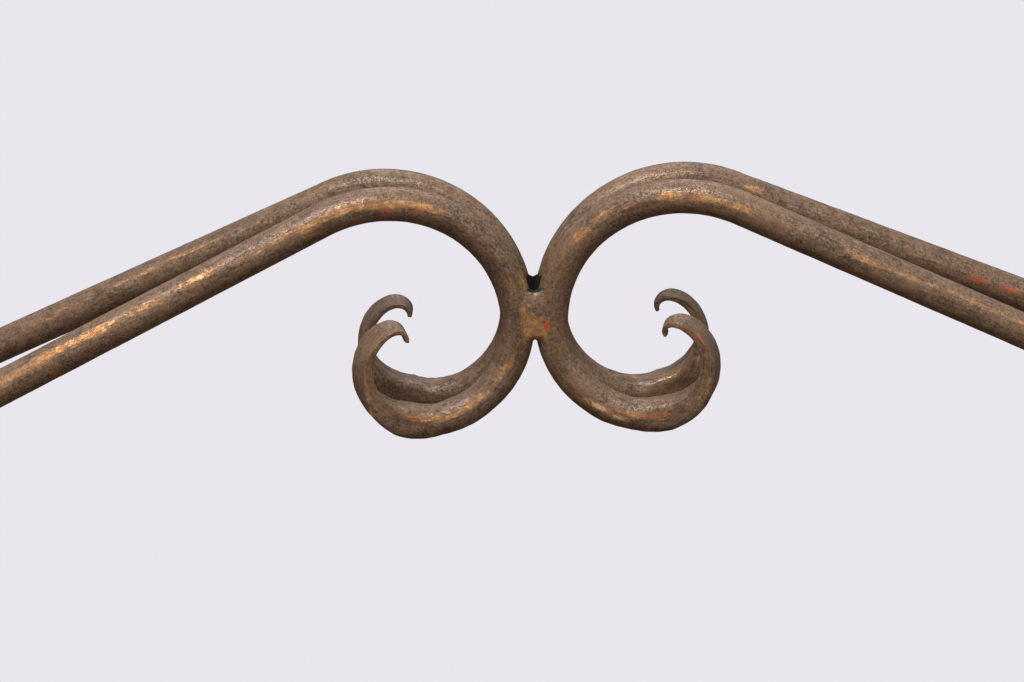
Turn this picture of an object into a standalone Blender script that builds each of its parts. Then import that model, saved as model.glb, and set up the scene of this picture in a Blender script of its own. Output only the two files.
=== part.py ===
"""Forged double curtain rod with its two wall brackets.

Four round iron bars are bent alike: a long arm, a wide bend, and a scroll forged flat and thin to its tip.
Their bends stand back to back in a tight square and are welded there, so that the two front bars make the
front rod and the two back bars the back rod. Each arm slopes down and out, then levels into a straight run
that lies in a riveted cup on a wall bracket and ends in a ball finial. Thumb screws hold the runs in the cups.

Units are metres. +X runs along the wall, +Y into the wall, +Z up. The origin is on the wall's face, midway
between the brackets, level with the centre of the straight runs.
"""

from math import acos, asin, atan2, cos, pi, radians, sin, sqrt, tan

import bmesh
import bpy
import numpy as np
from mathutils import Vector

# Clearances
FACE_GAP = 0.0003          # between pieces that touch
SCREW_CLEARANCE = 0.0003   # round a screw or rivet in its hole

# Bars
BAR_DIAMETER = 0.019       # 3/4 inch round stock
BAR_SIDES = 12
ROD_LENGTH = 1.50          # from end face to end face of the straight runs
RUN_BELOW_WELD = 0.0605    # straight runs' centre below the middle of the bends' start
FRONT_RUN_OFFSET = 0.0810  # how far the front arms move forward on their way out
BACK_RUN_OFFSET = 0.0142   # how far the back arms move back
LEVEL_BEND = 0.110         # radius of the bend from arm to straight run

# hand is +1 for a right bar and -1 for a left bar, row -1 in front and +1 behind. lift raises the bend's start.
BARS = {
    "front_left": dict(hand=-1, row=-1, bend=0.0777, slope=23.70, lift=-0.0012, tip_turn=358, tip_width=0.017),
    "front_right": dict(hand=1, row=-1, bend=0.0769, slope=22.75, lift=-0.0007, tip_turn=398, tip_width=0.010),
    "back_left": dict(hand=-1, row=1, bend=0.0744, slope=23.80, lift=0.0015, tip_turn=345, tip_width=0.016),
    "back_right": dict(hand=1, row=1, bend=0.0749, slope=22.80, lift=0.0004, tip_turn=360, tip_width=0.010),
}

# Scroll: its radius at each turn in degrees from straight down, with a straight change between them
SCROLL_RADII = {0: 0.052, 45: 0.057, 90: 0.047, 135: 0.0315, 180: 0.0315, 225: 0.0248, 270: 0.0085, 310: 0.0068,
                400: 0.0035}
FLATTEN_FROM = 110         # turn at which the round bar starts to be forged flat
FLATTENING_POWER = 2.2
TIP_THICKNESS = 0.0026
TIP_SQUARENESS = 4.0       # superellipse power at the tip, where a round section has 2

# Welds
WELD_WIDTH = 0.0160
WELD_ROOT = 0.0035         # starts this far outside the line where two bars meet
WELD_FACE_INSET = 0.0012   # its face behind the bars' outer tangent
FRONT_WELD_TOP, FRONT_WELD_BOTTOM = 0.0215, -0.0100
BACK_WELD_TOP, BACK_WELD_BOTTOM = 0.0205, -0.0100
SIDE_WELD_TOP, SIDE_WELD_BOTTOM = 0.0100, -0.0080
WELD_END_RADIUS = 0.0075   # of the hollow in a weld's top and bottom ends
WELD_END_DEPTH = 0.0020

# Brackets
BRACKET_SPACING = 1.32
BACK_ROD_PROJECTION = 0.060
PLATE_WIDTH, PLATE_THICKNESS = 0.056, 0.006
PLATE_TOP, PLATE_BOTTOM = 0.040, -0.130
PLATE_CORNER = 0.014
ARM_WIDTH, ARM_THICKNESS = 0.022, 0.008
ARM_OVERHANG = 0.028       # arm beyond the front rod's centre
ARM_CORNER = 0.006
BRACE_DIAMETER = 0.010
BRACE_FOOT_Z = -0.096
BRACE_HEAD_Y = -0.118
BRACE_RADIUS = 0.085

# Cups
CUP_WALL = 0.0045
CUP_BASE = 0.0060
CUP_RISE = 0.0115          # its walls above the rod's centre
CUP_WIDTH = 0.022
ROD_CLEARANCE = 0.0004

# Rivets
RIVET_DIAMETER = 0.006
RIVET_HEAD_DIAMETER, RIVET_HEAD_HEIGHT = 0.011, 0.0035
RIVET_IN_CUP = 0.0035

# Thumb screws
THUMB_DIAMETER = 0.006
THUMB_LENGTH = 0.018
PADDLE_DIAMETER, PADDLE_THICKNESS = 0.020, 0.0045
PADDLE_NECK_DIAMETER, PADDLE_NECK_LENGTH = 0.009, 0.0035

# Wall screws
WALL_SCREW_DIAMETER = 0.005
WALL_SCREW_LENGTH = 0.046
WALL_SCREW_HEAD_DIAMETER, WALL_SCREW_HEAD_HEIGHT = 0.011, 0.0032
WALL_SCREW_INSET = 0.018   # from the plate's top and bottom edges
SCREW_SLOT_WIDTH, SCREW_SLOT_DEPTH = 0.0014, 0.0014

# Finials
FINIAL_SOCKET_DEPTH = 0.014
FINIAL_COLLAR_DIAMETER = 0.026
FINIAL_NECK_DIAMETER = 0.014
FINIAL_NECK_LENGTH = 0.007
FINIAL_BALL_DIAMETER = 0.038
FINIAL_SIDES = 16

# Worked out from the dimensions above
BAR_RADIUS = BAR_DIAMETER / 2
HALF_SPACING = BAR_RADIUS + FACE_GAP / 2
RUN_OFFSET = {-1: FRONT_RUN_OFFSET, 1: BACK_RUN_OFFSET}
WELD_Y = -BACK_ROD_PROJECTION - HALF_SPACING - BACK_RUN_OFFSET
RUN_Y = {row: WELD_Y + row * (HALF_SPACING + RUN_OFFSET[row]) for row in (-1, 1)}
CUP_BORE_RADIUS = BAR_RADIUS + ROD_CLEARANCE
CUP_BOTTOM = -CUP_BORE_RADIUS - CUP_BASE
ARM_TOP = CUP_BOTTOM - FACE_GAP
ARM_BOTTOM = ARM_TOP - ARM_THICKNESS
PLATE_FRONT = -PLATE_THICKNESS
ARM_TIP = RUN_Y[-1] - ARM_OVERHANG
UP = np.array([0.0, 0.0, 1.0])


def reset_scene():
    for obj in list(bpy.data.objects):
        bpy.data.objects.remove(obj, do_unlink=True)


def make_material(name, colour, roughness, metallic):
    material = bpy.data.materials.new(name)
    material.use_nodes = True
    shader = material.node_tree.nodes["Principled BSDF"]
    shader.inputs["Base Color"].default_value = (*colour, 1.0)
    shader.inputs["Roughness"].default_value = roughness
    shader.inputs["Metallic"].default_value = metallic
    return material


def mesh_from_bmesh(name, bm):
    bmesh.ops.recalc_face_normals(bm, faces=bm.faces)
    mesh = bpy.data.meshes.new(name)
    bm.to_mesh(mesh)
    bm.free()
    return mesh


def add_object(name, mesh, material, location=(0, 0, 0), smooth_angle=40):
    """Puts a mesh in the scene with its own origin at location."""
    mesh.materials.append(material)
    obj = bpy.data.objects.new(name, mesh)
    obj.location = location
    bpy.context.scene.collection.objects.link(obj)
    finish_shading(obj, smooth_angle)
    return obj


def finish_shading(obj, smooth_angle=40):
    obj.data.shade_smooth()
    obj.data.set_sharp_from_angle(angle=radians(smooth_angle))


def carve(obj, cutter_mesh, location=(0, 0, 0)):
    """Takes a shape out of obj for good."""
    cutter = bpy.data.objects.new(obj.name + "_cutter", cutter_mesh)
    cutter.location = location
    bpy.context.scene.collection.objects.link(cutter)
    modifier = obj.modifiers.new("carve", "BOOLEAN")
    modifier.operation = "DIFFERENCE"
    modifier.solver = "EXACT"
    modifier.object = cutter
    bpy.context.view_layer.update()
    evaluated = obj.evaluated_get(bpy.context.evaluated_depsgraph_get())
    mesh = bpy.data.meshes.new_from_object(evaluated)
    obj.modifiers.clear()
    obj.data = mesh
    bpy.data.objects.remove(cutter, do_unlink=True)
    finish_shading(obj)


def box_mesh(name, low, high):
    bm = bmesh.new()
    bmesh.ops.create_cube(bm, size=1.0)
    for vert in bm.verts:
        vert.co = Vector([low[i] + (vert.co[i] + 0.5) * (high[i] - low[i]) for i in range(3)])
    return mesh_from_bmesh(name, bm)


def extruded_mesh(name, outline, axis, low, high):
    """A prism from a closed outline. axis 0 takes the outline as (y, z), 1 as (x, z) and 2 as (x, y)."""
    bm = bmesh.new()
    rings = []
    for level in (low, high):
        ring = []
        for point in outline:
            place = list(point)
            place.insert(axis, level)
            ring.append(bm.verts.new(place))
        rings.append(ring)
    bm.faces.new(rings[0])
    bm.faces.new(rings[1])
    for i in range(len(outline)):
        j = (i + 1) % len(outline)
        bm.faces.new((rings[0][i], rings[0][j], rings[1][j], rings[1][i]))
    return mesh_from_bmesh(name, bm)


def turned_mesh(name, profile, axis, sides):
    """Turns (along, radius) points round an axis through the mesh's origin. The first and last lie on the axis."""
    axis = Vector(axis).normalized()
    turn = Vector((0, 0, 1)).rotation_difference(axis).to_matrix()
    bm = bmesh.new()
    first = bm.verts.new(turn @ Vector((0, 0, profile[0][0])))
    last = bm.verts.new(turn @ Vector((0, 0, profile[-1][0])))
    rings = []
    for along, radius in profile[1:-1]:
        rings.append([bm.verts.new(turn @ Vector((radius * cos(2 * pi * k / sides), radius * sin(2 * pi * k / sides),
                                                  along))) for k in range(sides)])
    for k in range(sides):
        j = (k + 1) % sides
        bm.faces.new((first, rings[0][k], rings[0][j]))
        bm.faces.new((last, rings[-1][j], rings[-1][k]))
        for ring, following in zip(rings, rings[1:]):
            bm.faces.new((ring[k], following[k], following[j], ring[j]))
    return mesh_from_bmesh(name, bm)


def cylinder_mesh(name, radius, low, high, axis, sides=16):
    return turned_mesh(name, [(low, 0), (low, radius), (high, radius), (high, 0)], axis, sides)


def swept_mesh(name, centres, tangents, side, half_thickness, half_width, power, sides):
    """Carries a superellipse along a path. side is the section's width direction, made square to the path."""
    angles = np.linspace(0, 2 * pi, sides, endpoint=False)
    cosines, sines = np.round(np.cos(angles), 12), np.round(np.sin(angles), 12)
    bm = bmesh.new()
    rings = []
    for i, centre in enumerate(centres):
        tangent = tangents[i]
        width_way = side - tangent * np.dot(side, tangent)
        width_way = width_way / np.linalg.norm(width_way)
        thick_way = np.cross(width_way, tangent)
        exponent = 2 / power[i]
        across = np.sign(cosines) * np.abs(cosines) ** exponent * half_thickness[i]
        along = np.sign(sines) * np.abs(sines) ** exponent * half_width[i]
        points = centre + np.outer(across, thick_way) + np.outer(along, width_way)
        rings.append([bm.verts.new(point) for point in points])
    for ring, following in zip(rings, rings[1:]):
        for j in range(sides):
            k = (j + 1) % sides
            bm.faces.new((ring[j], ring[k], following[k], following[j]))
    bm.faces.new(rings[0])
    bm.faces.new(rings[-1])
    return mesh_from_bmesh(name, bm)


def scroll_path(tip_turn, steps=32, substeps=12):
    """The scroll in its own plane from the weld to its tip: out, up and turn. It heads straight down at turn 0."""
    turns = np.linspace(0, radians(tip_turn), steps * substeps + 1)
    middles = (turns[1:] + turns[:-1]) / 2
    radii = np.interp(np.degrees(middles), list(SCROLL_RADII), list(SCROLL_RADII.values()))
    lengths = radii * np.diff(turns)
    out = np.concatenate([[0], np.cumsum(lengths * np.sin(middles))])
    up = np.concatenate([[0], np.cumsum(-lengths * np.cos(middles))])
    return out[::substeps], up[::substeps], turns[::substeps]


def splay_angle(bar):
    """Angle between a bar's plane and the wall that brings its arm to its row's run."""
    slope, bend = radians(bar["slope"]), bar["bend"]
    height = RUN_BELOW_WELD + bar["lift"] + bend * cos(slope)
    reach = bend * (1 + sin(slope)) + height / tan(slope)
    return asin(RUN_OFFSET[bar["row"]] / reach)


def bar_path(bar):
    """Centres, unit tangents and turns of one bar from its tip to its end, with its section's width direction."""
    hand, row, bend = bar["hand"], bar["row"], bar["bend"]
    slope, splay = radians(bar["slope"]), splay_angle(bar)
    outward = np.array([hand * cos(splay), row * sin(splay), 0.0])
    side = np.array([-outward[1], outward[0], 0.0])
    start = np.array([hand * HALF_SPACING, WELD_Y + row * HALF_SPACING, RUN_BELOW_WELD + bar["lift"]])

    out, up, turns = scroll_path(bar["tip_turn"])
    centres = [start + outward * o + UP * u for o, u in zip(out, up)][::-1]
    tangents = [UP * cos(t) - outward * sin(t) for t in turns][::-1]
    marks = list(np.degrees(turns))[::-1]

    for angle in np.linspace(0, pi / 2 + slope, 13)[1:]:
        centres.append(start + outward * bend * (1 - cos(angle)) + UP * bend * sin(angle))
        tangents.append(UP * cos(angle) + outward * sin(angle))

    arm_way, run_way = tangents[-1], np.array([float(hand), 0.0, 0.0])
    corner = centres[-1] - arm_way * (centres[-1][2] / arm_way[2])
    angle = acos(float(np.dot(arm_way, run_way)))
    inward = run_way - arm_way * np.dot(run_way, arm_way)
    inward = inward / np.linalg.norm(inward)
    first = corner - arm_way * LEVEL_BEND * tan(angle / 2)
    for part in np.linspace(0, angle, 5):
        centres.append(first + inward * LEVEL_BEND * (1 - cos(part)) + arm_way * LEVEL_BEND * sin(part))
        tangents.append(arm_way * cos(part) + inward * sin(part))
    end = centres[-1].copy()
    end[0] = hand * ROD_LENGTH / 2
    centres.append(end)
    tangents.append(run_way)
    marks += [0.0] * (len(centres) - len(marks))
    return np.array(centres), np.array(tangents), np.array(marks), side


def bar_mesh(name, bar, inflate=0.0):
    centres, tangents, marks, side = bar_path(bar)
    flat = np.clip((marks - FLATTEN_FROM) / (bar["tip_turn"] - FLATTEN_FROM), 0, 1)
    thinned = 1 - (1 - flat) ** FLATTENING_POWER
    half_thickness = BAR_RADIUS + (TIP_THICKNESS / 2 - BAR_RADIUS) * thinned + inflate
    half_width = BAR_RADIUS + (bar["tip_width"] / 2 - BAR_RADIUS) * flat + inflate
    power = 2 + (TIP_SQUARENESS - 2) * flat
    return swept_mesh(name, centres, tangents, side, half_thickness, half_width, power, BAR_SIDES)


def add_bars(paint):
    for name, bar in BARS.items():
        add_object(name + "_bar", bar_mesh(name + "_bar", bar), paint)


def add_welds(metal):
    """Webs in the grooves between neighbouring bars, hollowed at both ends."""
    near = HALF_SPACING + WELD_ROOT
    far = HALF_SPACING + BAR_RADIUS - WELD_FACE_INSET
    half = WELD_WIDTH / 2
    welds = {
        "front_centre_weld": ((0, -1), FRONT_WELD_TOP, FRONT_WELD_BOTTOM, ("front_left", "front_right")),
        "back_centre_weld": ((0, 1), BACK_WELD_TOP, BACK_WELD_BOTTOM, ("back_left", "back_right")),
        "left_side_weld": ((-1, 0), SIDE_WELD_TOP, SIDE_WELD_BOTTOM, ("front_left", "back_left")),
        "right_side_weld": ((1, 0), SIDE_WELD_TOP, SIDE_WELD_BOTTOM, ("front_right", "back_right")),
    }
    for name, ((way_x, way_y), top, bottom, neighbours) in welds.items():
        spans = []
        for way, middle in ((way_x, 0.0), (way_y, WELD_Y)):
            spans.append(sorted((middle + way * near, middle + way * far)) if way else (middle - half, middle + half))
        low = (spans[0][0], spans[1][0], RUN_BELOW_WELD + bottom)
        high = (spans[0][1], spans[1][1], RUN_BELOW_WELD + top)
        weld = add_object(name, box_mesh(name, low, high), metal)
        for neighbour in neighbours:
            carve(weld, bar_mesh(neighbour, BARS[neighbour], FACE_GAP))
        for end, sign in ((top, 1), (bottom, -1)):
            centre = RUN_BELOW_WELD + end + sign * (WELD_END_RADIUS - WELD_END_DEPTH)
            hollow = cylinder_mesh(name, WELD_END_RADIUS, -0.04, 0.04, (way_x, way_y, 0), 24)
            carve(weld, hollow, (0, WELD_Y, centre))


def add_finials(paint):
    ball, neck, collar = FINIAL_BALL_DIAMETER / 2, FINIAL_NECK_DIAMETER / 2, FINIAL_COLLAR_DIAMETER / 2
    bore = BAR_RADIUS + FACE_GAP
    shoulder = 0.005
    ball_centre = shoulder + FINIAL_NECK_LENGTH + sqrt(ball ** 2 - neck ** 2)
    profile = [(FACE_GAP, 0), (FACE_GAP, bore), (-FINIAL_SOCKET_DEPTH, bore), (-FINIAL_SOCKET_DEPTH, collar - 0.001),
               (0.001 - FINIAL_SOCKET_DEPTH, collar), (shoulder - 0.0015, collar), (shoulder, collar - 0.0015),
               (shoulder, neck)]
    start = atan2(neck, -sqrt(ball ** 2 - neck ** 2))
    for angle in np.linspace(start, 0.0, 10)[:-1]:
        profile.append((ball_centre + ball * cos(angle), ball * sin(angle)))
    profile.append((ball_centre + ball, 0))
    for name, bar in BARS.items():
        place = (bar["hand"] * ROD_LENGTH / 2, RUN_Y[bar["row"]], 0)
        mesh = turned_mesh(name + "_finial", profile, (bar["hand"], 0, 0), FINIAL_SIDES)
        add_object(name + "_finial", mesh, paint, place)


def rounded_rectangle(low, high, corner, steps=5):
    points = []
    for sign_x, sign_y, begin in ((1, 1, 0), (-1, 1, pi / 2), (-1, -1, pi), (1, -1, 3 * pi / 2)):
        x = high[0] - corner if sign_x > 0 else low[0] + corner
        y = high[1] - corner if sign_y > 0 else low[1] + corner
        for k in range(steps + 1):
            angle = begin + k * pi / 2 / steps
            points.append((x + corner * cos(angle), y + corner * sin(angle)))
    return points


def add_wall_plate(hand, paint, steel):
    side = "left" if hand < 0 else "right"
    x = hand * BRACKET_SPACING / 2
    outline = rounded_rectangle((x - PLATE_WIDTH / 2, PLATE_BOTTOM), (x + PLATE_WIDTH / 2, PLATE_TOP), PLATE_CORNER)
    plate = add_object(side + "_wall_plate",
                       extruded_mesh(side + "_wall_plate", outline, 1, PLATE_FRONT, 0.0), paint)
    head = WALL_SCREW_HEAD_DIAMETER / 2
    shank = WALL_SCREW_DIAMETER / 2
    top = -PLATE_THICKNESS - FACE_GAP
    crown = WALL_SCREW_HEAD_HEIGHT
    for label, z in (("upper", PLATE_TOP - WALL_SCREW_INSET), ("lower", PLATE_BOTTOM + WALL_SCREW_INSET)):
        name = f"{side}_{label}_wall_screw"
        hole = cylinder_mesh("hole", shank + SCREW_CLEARANCE, -0.02, 0.02, (0, 1, 0), 20)
        carve(plate, hole, (x, 0, z))
        profile = [(top - crown, 0), (top - crown, head * 0.5), (top - crown * 0.75, head * 0.85),
                   (top - crown * 0.3, head), (top, head), (top, shank), (WALL_SCREW_LENGTH - 0.010 + top, shank),
                   (WALL_SCREW_LENGTH + top, 0)]
        screw = add_object(name, turned_mesh(name, profile, (0, 1, 0), 20), steel, (x, 0, z))
        slot = box_mesh("slot", (-0.01, top - crown - 0.002, -SCREW_SLOT_WIDTH / 2),
                        (0.01, top - crown + SCREW_SLOT_DEPTH, SCREW_SLOT_WIDTH / 2))
        carve(screw, slot, (x, 0, z))


def add_bracket_arm(hand, paint):
    """The flat arm under both cups, and the round brace under the arm."""
    side = "left" if hand < 0 else "right"
    x = hand * BRACKET_SPACING / 2
    outline = [(x + ARM_WIDTH / 2, PLATE_FRONT - FACE_GAP), (x - ARM_WIDTH / 2, PLATE_FRONT - FACE_GAP)]
    for sign, begin in ((-1, pi), (1, 3 * pi / 2)):
        for k in range(6):
            angle = begin + k * pi / 10
            outline.append((x + sign * (ARM_WIDTH / 2 - ARM_CORNER) + ARM_CORNER * cos(angle),
                            ARM_TIP + ARM_CORNER + ARM_CORNER * sin(angle)))
    arm = add_object(side + "_bracket_arm",
                     extruded_mesh(side + "_bracket_arm", outline, 2, ARM_BOTTOM, ARM_TOP), paint)
    hole_radius = RIVET_DIAMETER / 2 + SCREW_CLEARANCE
    for row in (-1, 1):
        carve(arm, cylinder_mesh("hole", hole_radius, -0.02, 0.02, (0, 0, 1), 20), (x, RUN_Y[row], ARM_TOP))

    radius = BRACE_DIAMETER / 2
    foot = np.array([PLATE_FRONT - FACE_GAP, BRACE_FOOT_Z])
    head = np.array([BRACE_HEAD_Y, ARM_BOTTOM - FACE_GAP])
    chord = head - foot
    half = float(np.linalg.norm(chord)) / 2
    sag = BRACE_RADIUS - sqrt(BRACE_RADIUS ** 2 - half ** 2)
    normal = np.array([chord[1], -chord[0]]) / (2 * half)
    if normal[1] > 0:
        normal = -normal
    centres, tangents = [], []
    centre = (foot + head) / 2 - normal * (BRACE_RADIUS - sag)
    begin = atan2(*(foot - centre)[::-1])
    end = atan2(*(head - centre)[::-1])
    for angle in np.linspace(begin, end, 15):
        centres.append([x, *(centre + BRACE_RADIUS * np.array([cos(angle), sin(angle)]))])
        way = np.array([0.0, -sin(angle), cos(angle)]) * (1 if end > begin else -1)
        tangents.append(way)
    level = [radius] * len(centres)
    mesh = swept_mesh(side + "_brace", np.array(centres), np.array(tangents), np.array([1.0, 0.0, 0.0]),
                      level, level, [2] * len(centres), 14)
    brace = add_object(side + "_brace", mesh, paint)
    reach = 0.05
    carve(brace, box_mesh("face", (x - reach, PLATE_FRONT - FACE_GAP, BRACE_FOOT_Z - reach),
                          (x + reach, PLATE_FRONT + reach, BRACE_FOOT_Z + reach)))
    carve(brace, box_mesh("face", (x - reach, BRACE_HEAD_Y - reach, ARM_BOTTOM - FACE_GAP),
                          (x + reach, BRACE_HEAD_Y + reach, ARM_BOTTOM + reach)))


def add_cup(hand, row, paint, rivet_metal, steel):
    """A U-shaped cup with its rivet and its thumb screw. The screw enters from the room's side."""
    name = ("front" if row < 0 else "back") + ("_left" if hand < 0 else "_right")
    x, y = hand * BRACKET_SPACING / 2, RUN_Y[row]
    outer = CUP_BORE_RADIUS + CUP_WALL
    base_round = CUP_WALL
    outline = [(outer, CUP_RISE)]
    for sign, begin in ((1, 0.0), (-1, -pi / 2)):
        for k in range(5):
            angle = begin - k * pi / 8
            outline.append((sign * (outer - base_round) + base_round * cos(angle),
                            CUP_BOTTOM + base_round + base_round * sin(angle)))
    outline.append((-outer, CUP_RISE))
    outline.append((-CUP_BORE_RADIUS, CUP_RISE))
    for k in range(17):
        angle = pi + k * pi / 16
        outline.append((CUP_BORE_RADIUS * cos(angle), CUP_BORE_RADIUS * sin(angle)))
    outline.append((CUP_BORE_RADIUS, CUP_RISE))
    outline = [(y + dy, z) for dy, z in outline]
    cup = add_object(name + "_cup", extruded_mesh(name + "_cup", outline, 0, x - CUP_WIDTH / 2, x + CUP_WIDTH / 2),
                     paint)
    thumb_bore = cylinder_mesh("bore", THUMB_DIAMETER / 2 + SCREW_CLEARANCE, -outer - 0.01, -BAR_RADIUS / 2,
                               (0, 1, 0), 20)
    carve(cup, thumb_bore, (x, y, 0))
    rivet_depth = CUP_BOTTOM + RIVET_IN_CUP
    rivet_bore = cylinder_mesh("bore", RIVET_DIAMETER / 2 + SCREW_CLEARANCE, CUP_BOTTOM - 0.01,
                               rivet_depth + FACE_GAP, (0, 0, 1), 20)
    carve(cup, rivet_bore, (x, y, 0))

    under = ARM_BOTTOM - FACE_GAP
    head = RIVET_HEAD_DIAMETER / 2
    profile = [(under - RIVET_HEAD_HEIGHT, 0), (under - RIVET_HEAD_HEIGHT * 0.92, head * 0.45),
               (under - RIVET_HEAD_HEIGHT * 0.6, head * 0.82), (under, head), (under, RIVET_DIAMETER / 2),
               (rivet_depth, RIVET_DIAMETER / 2), (rivet_depth, 0)]
    add_object(name + "_rivet", turned_mesh(name + "_rivet", profile, (0, 0, 1), 20), rivet_metal, (x, y, 0))

    tip = y - BAR_RADIUS - FACE_GAP
    radius = THUMB_DIAMETER / 2
    shank = [(0, 0), (0, radius * 0.7), (-0.001, radius), (-THUMB_LENGTH, radius), (-THUMB_LENGTH, 0)]
    add_object(name + "_thumb_shank", turned_mesh(name + "_thumb_shank", shank, (0, 1, 0), 18), steel, (x, tip, 0))
    neck, paddle = PADDLE_NECK_DIAMETER / 2, PADDLE_DIAMETER / 2
    joined = 0.0015
    centre = -PADDLE_NECK_LENGTH - paddle + joined
    collar = cylinder_mesh("neck", neck, -PADDLE_NECK_LENGTH, 0, (0, 1, 0), 20)
    blade = turned_mesh("blade", [(-PADDLE_THICKNESS / 2, 0), (-PADDLE_THICKNESS / 2, paddle - 0.0012),
                                  (-PADDLE_THICKNESS / 2 + 0.0012, paddle), (PADDLE_THICKNESS / 2 - 0.0012, paddle),
                                  (PADDLE_THICKNESS / 2, paddle - 0.0012), (PADDLE_THICKNESS / 2, 0)], (1, 0, 0), 28)
    place = (x, tip - THUMB_LENGTH - FACE_GAP, 0)
    head_object = add_object(name + "_thumb_paddle", collar, steel, place)
    other = bpy.data.objects.new("blade", blade)
    other.location = (place[0], place[1] + centre, 0)
    bpy.context.scene.collection.objects.link(other)
    modifier = head_object.modifiers.new("join", "BOOLEAN")
    modifier.operation = "UNION"
    modifier.solver = "EXACT"
    modifier.object = other
    bpy.context.view_layer.update()
    evaluated = head_object.evaluated_get(bpy.context.evaluated_depsgraph_get())
    mesh = bpy.data.meshes.new_from_object(evaluated)
    head_object.modifiers.clear()
    head_object.data = mesh
    bpy.data.objects.remove(other, do_unlink=True)
    finish_shading(head_object)


def main():
    reset_scene()
    rod_paint = make_material("rod_paint", (0.11, 0.085, 0.062), 0.5, 0.45)
    weld_gilt = make_material("weld_gilt", (0.34, 0.20, 0.075), 0.45, 0.6)
    finial_paint = make_material("finial_paint", (0.12, 0.09, 0.065), 0.48, 0.45)
    bracket_paint = make_material("bracket_paint", (0.095, 0.075, 0.057), 0.55, 0.4)
    cup_paint = make_material("cup_paint", (0.10, 0.08, 0.06), 0.5, 0.45)
    rivet_iron = make_material("rivet_iron", (0.08, 0.066, 0.052), 0.55, 0.6)
    screw_steel = make_material("screw_steel", (0.22, 0.19, 0.16), 0.42, 0.85)
    add_bars(rod_paint)
    add_welds(weld_gilt)
    add_finials(finial_paint)
    for hand in (-1, 1):
        add_wall_plate(hand, bracket_paint, screw_steel)
        add_bracket_arm(hand, bracket_paint)
        for row in (-1, 1):
            add_cup(hand, row, cup_paint, rivet_iron, screw_steel)


main()
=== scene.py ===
"""Looks of a forged double curtain rod: four worn, painted iron bars with scrolls, welded back to back, on two
wall brackets. Metres, +X along the wall, +Y into the wall, +Z up."""

from math import acos, asin, cos, pi, radians, sin, sqrt, tan

import bpy
import numpy as np
from mathutils import Matrix


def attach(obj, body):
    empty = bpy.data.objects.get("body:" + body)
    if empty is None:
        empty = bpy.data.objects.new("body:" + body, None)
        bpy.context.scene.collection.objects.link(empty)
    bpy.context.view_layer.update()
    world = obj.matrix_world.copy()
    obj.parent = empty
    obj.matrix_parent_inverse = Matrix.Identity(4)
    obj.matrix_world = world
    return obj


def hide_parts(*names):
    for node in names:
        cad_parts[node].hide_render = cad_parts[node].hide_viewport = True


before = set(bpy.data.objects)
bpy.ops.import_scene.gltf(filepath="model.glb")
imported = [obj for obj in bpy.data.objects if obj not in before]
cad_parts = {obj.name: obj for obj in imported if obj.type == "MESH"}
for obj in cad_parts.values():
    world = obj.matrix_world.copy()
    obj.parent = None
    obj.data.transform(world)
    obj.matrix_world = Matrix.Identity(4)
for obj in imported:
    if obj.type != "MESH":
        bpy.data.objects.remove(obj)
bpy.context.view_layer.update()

# ---------------------------------------------------------------------------------------------------------
# The four forged bars. Each is one length of 19 mm round iron: an arm, a wide bend, and a scroll drawn down
# under the hammer to a thin hooked ribbon. They were gilded over a red ground and painted over in grey-brown,
# and handling has rubbed the paint through along the front of the arms, bends and scrolls.

BAR_RADIUS = 0.0095
HALF_SPACING = 0.00965                 # from the cluster's middle to each bar's centre
WELD_Y, WELD_Z = -0.08385, 0.0605      # middle of the cluster
RUN_OFFSET = {-1: 0.0810, 1: 0.0142}   # how far the splayed arms carry the front and back runs out of the cluster
RUN_Y = {row: WELD_Y + row * (HALF_SPACING + offset) for row, offset in RUN_OFFSET.items()}
RUN_END = 0.75
LEVEL_BEND = 0.110                     # radius of the bend from arm to run
BLOW = 0.0085                          # reach of one hammer blow
UP = np.array([0.0, 0.0, 1.0])
TURNS = [0, 45, 90, 135, 180, 225, 270, 310, 352, 400]

# bend is the radius from scroll to arm, slope the arm's fall in degrees, lift the rise of the bend's start. radii
# are the scroll's in mm at each of TURNS, in degrees from straight down. The iron is thinnest from thin_turn to
# tip_turn, ends tip_width wide with squareness as its section's power, and is twisted by up to twist degrees.
BARS = {
    "front_left": dict(
        hand=-1, row=-1, bend=0.0777, slope=23.70, lift=-0.0012, tip_turn=386, thin_turn=342, tip_width=0.0165,
        squareness=8.0, twist=12, radii=[52, 57, 47, 32, 31.5, 24.5, 7.5, 5.8, 5.0, 4.4]),
    "front_right": dict(
        hand=1, row=-1, bend=0.0769, slope=22.75, lift=-0.0007, tip_turn=422, thin_turn=372, tip_width=0.0085,
        squareness=6.0, twist=9, radii=[53, 57, 49, 30, 31.5, 25.0, 8.5, 6.5, 4.0, 3.2]),
    "back_left": dict(
        hand=-1, row=1, bend=0.0744, slope=23.80, lift=0.0015, tip_turn=374, thin_turn=330, tip_width=0.0155,
        squareness=8.0, twist=11, radii=[52, 57, 45, 31.5, 31.5, 25, 8.6, 7.2, 6, 5]),
    "back_right": dict(
        hand=1, row=1, bend=0.0749, slope=22.80, lift=0.0004, tip_turn=388, thin_turn=342, tip_width=0.0085,
        squareness=6.0, twist=8, radii=[52, 57, 45, 31.5, 32, 25.5, 8.2, 6.8, 6, 5]),
}

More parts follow.
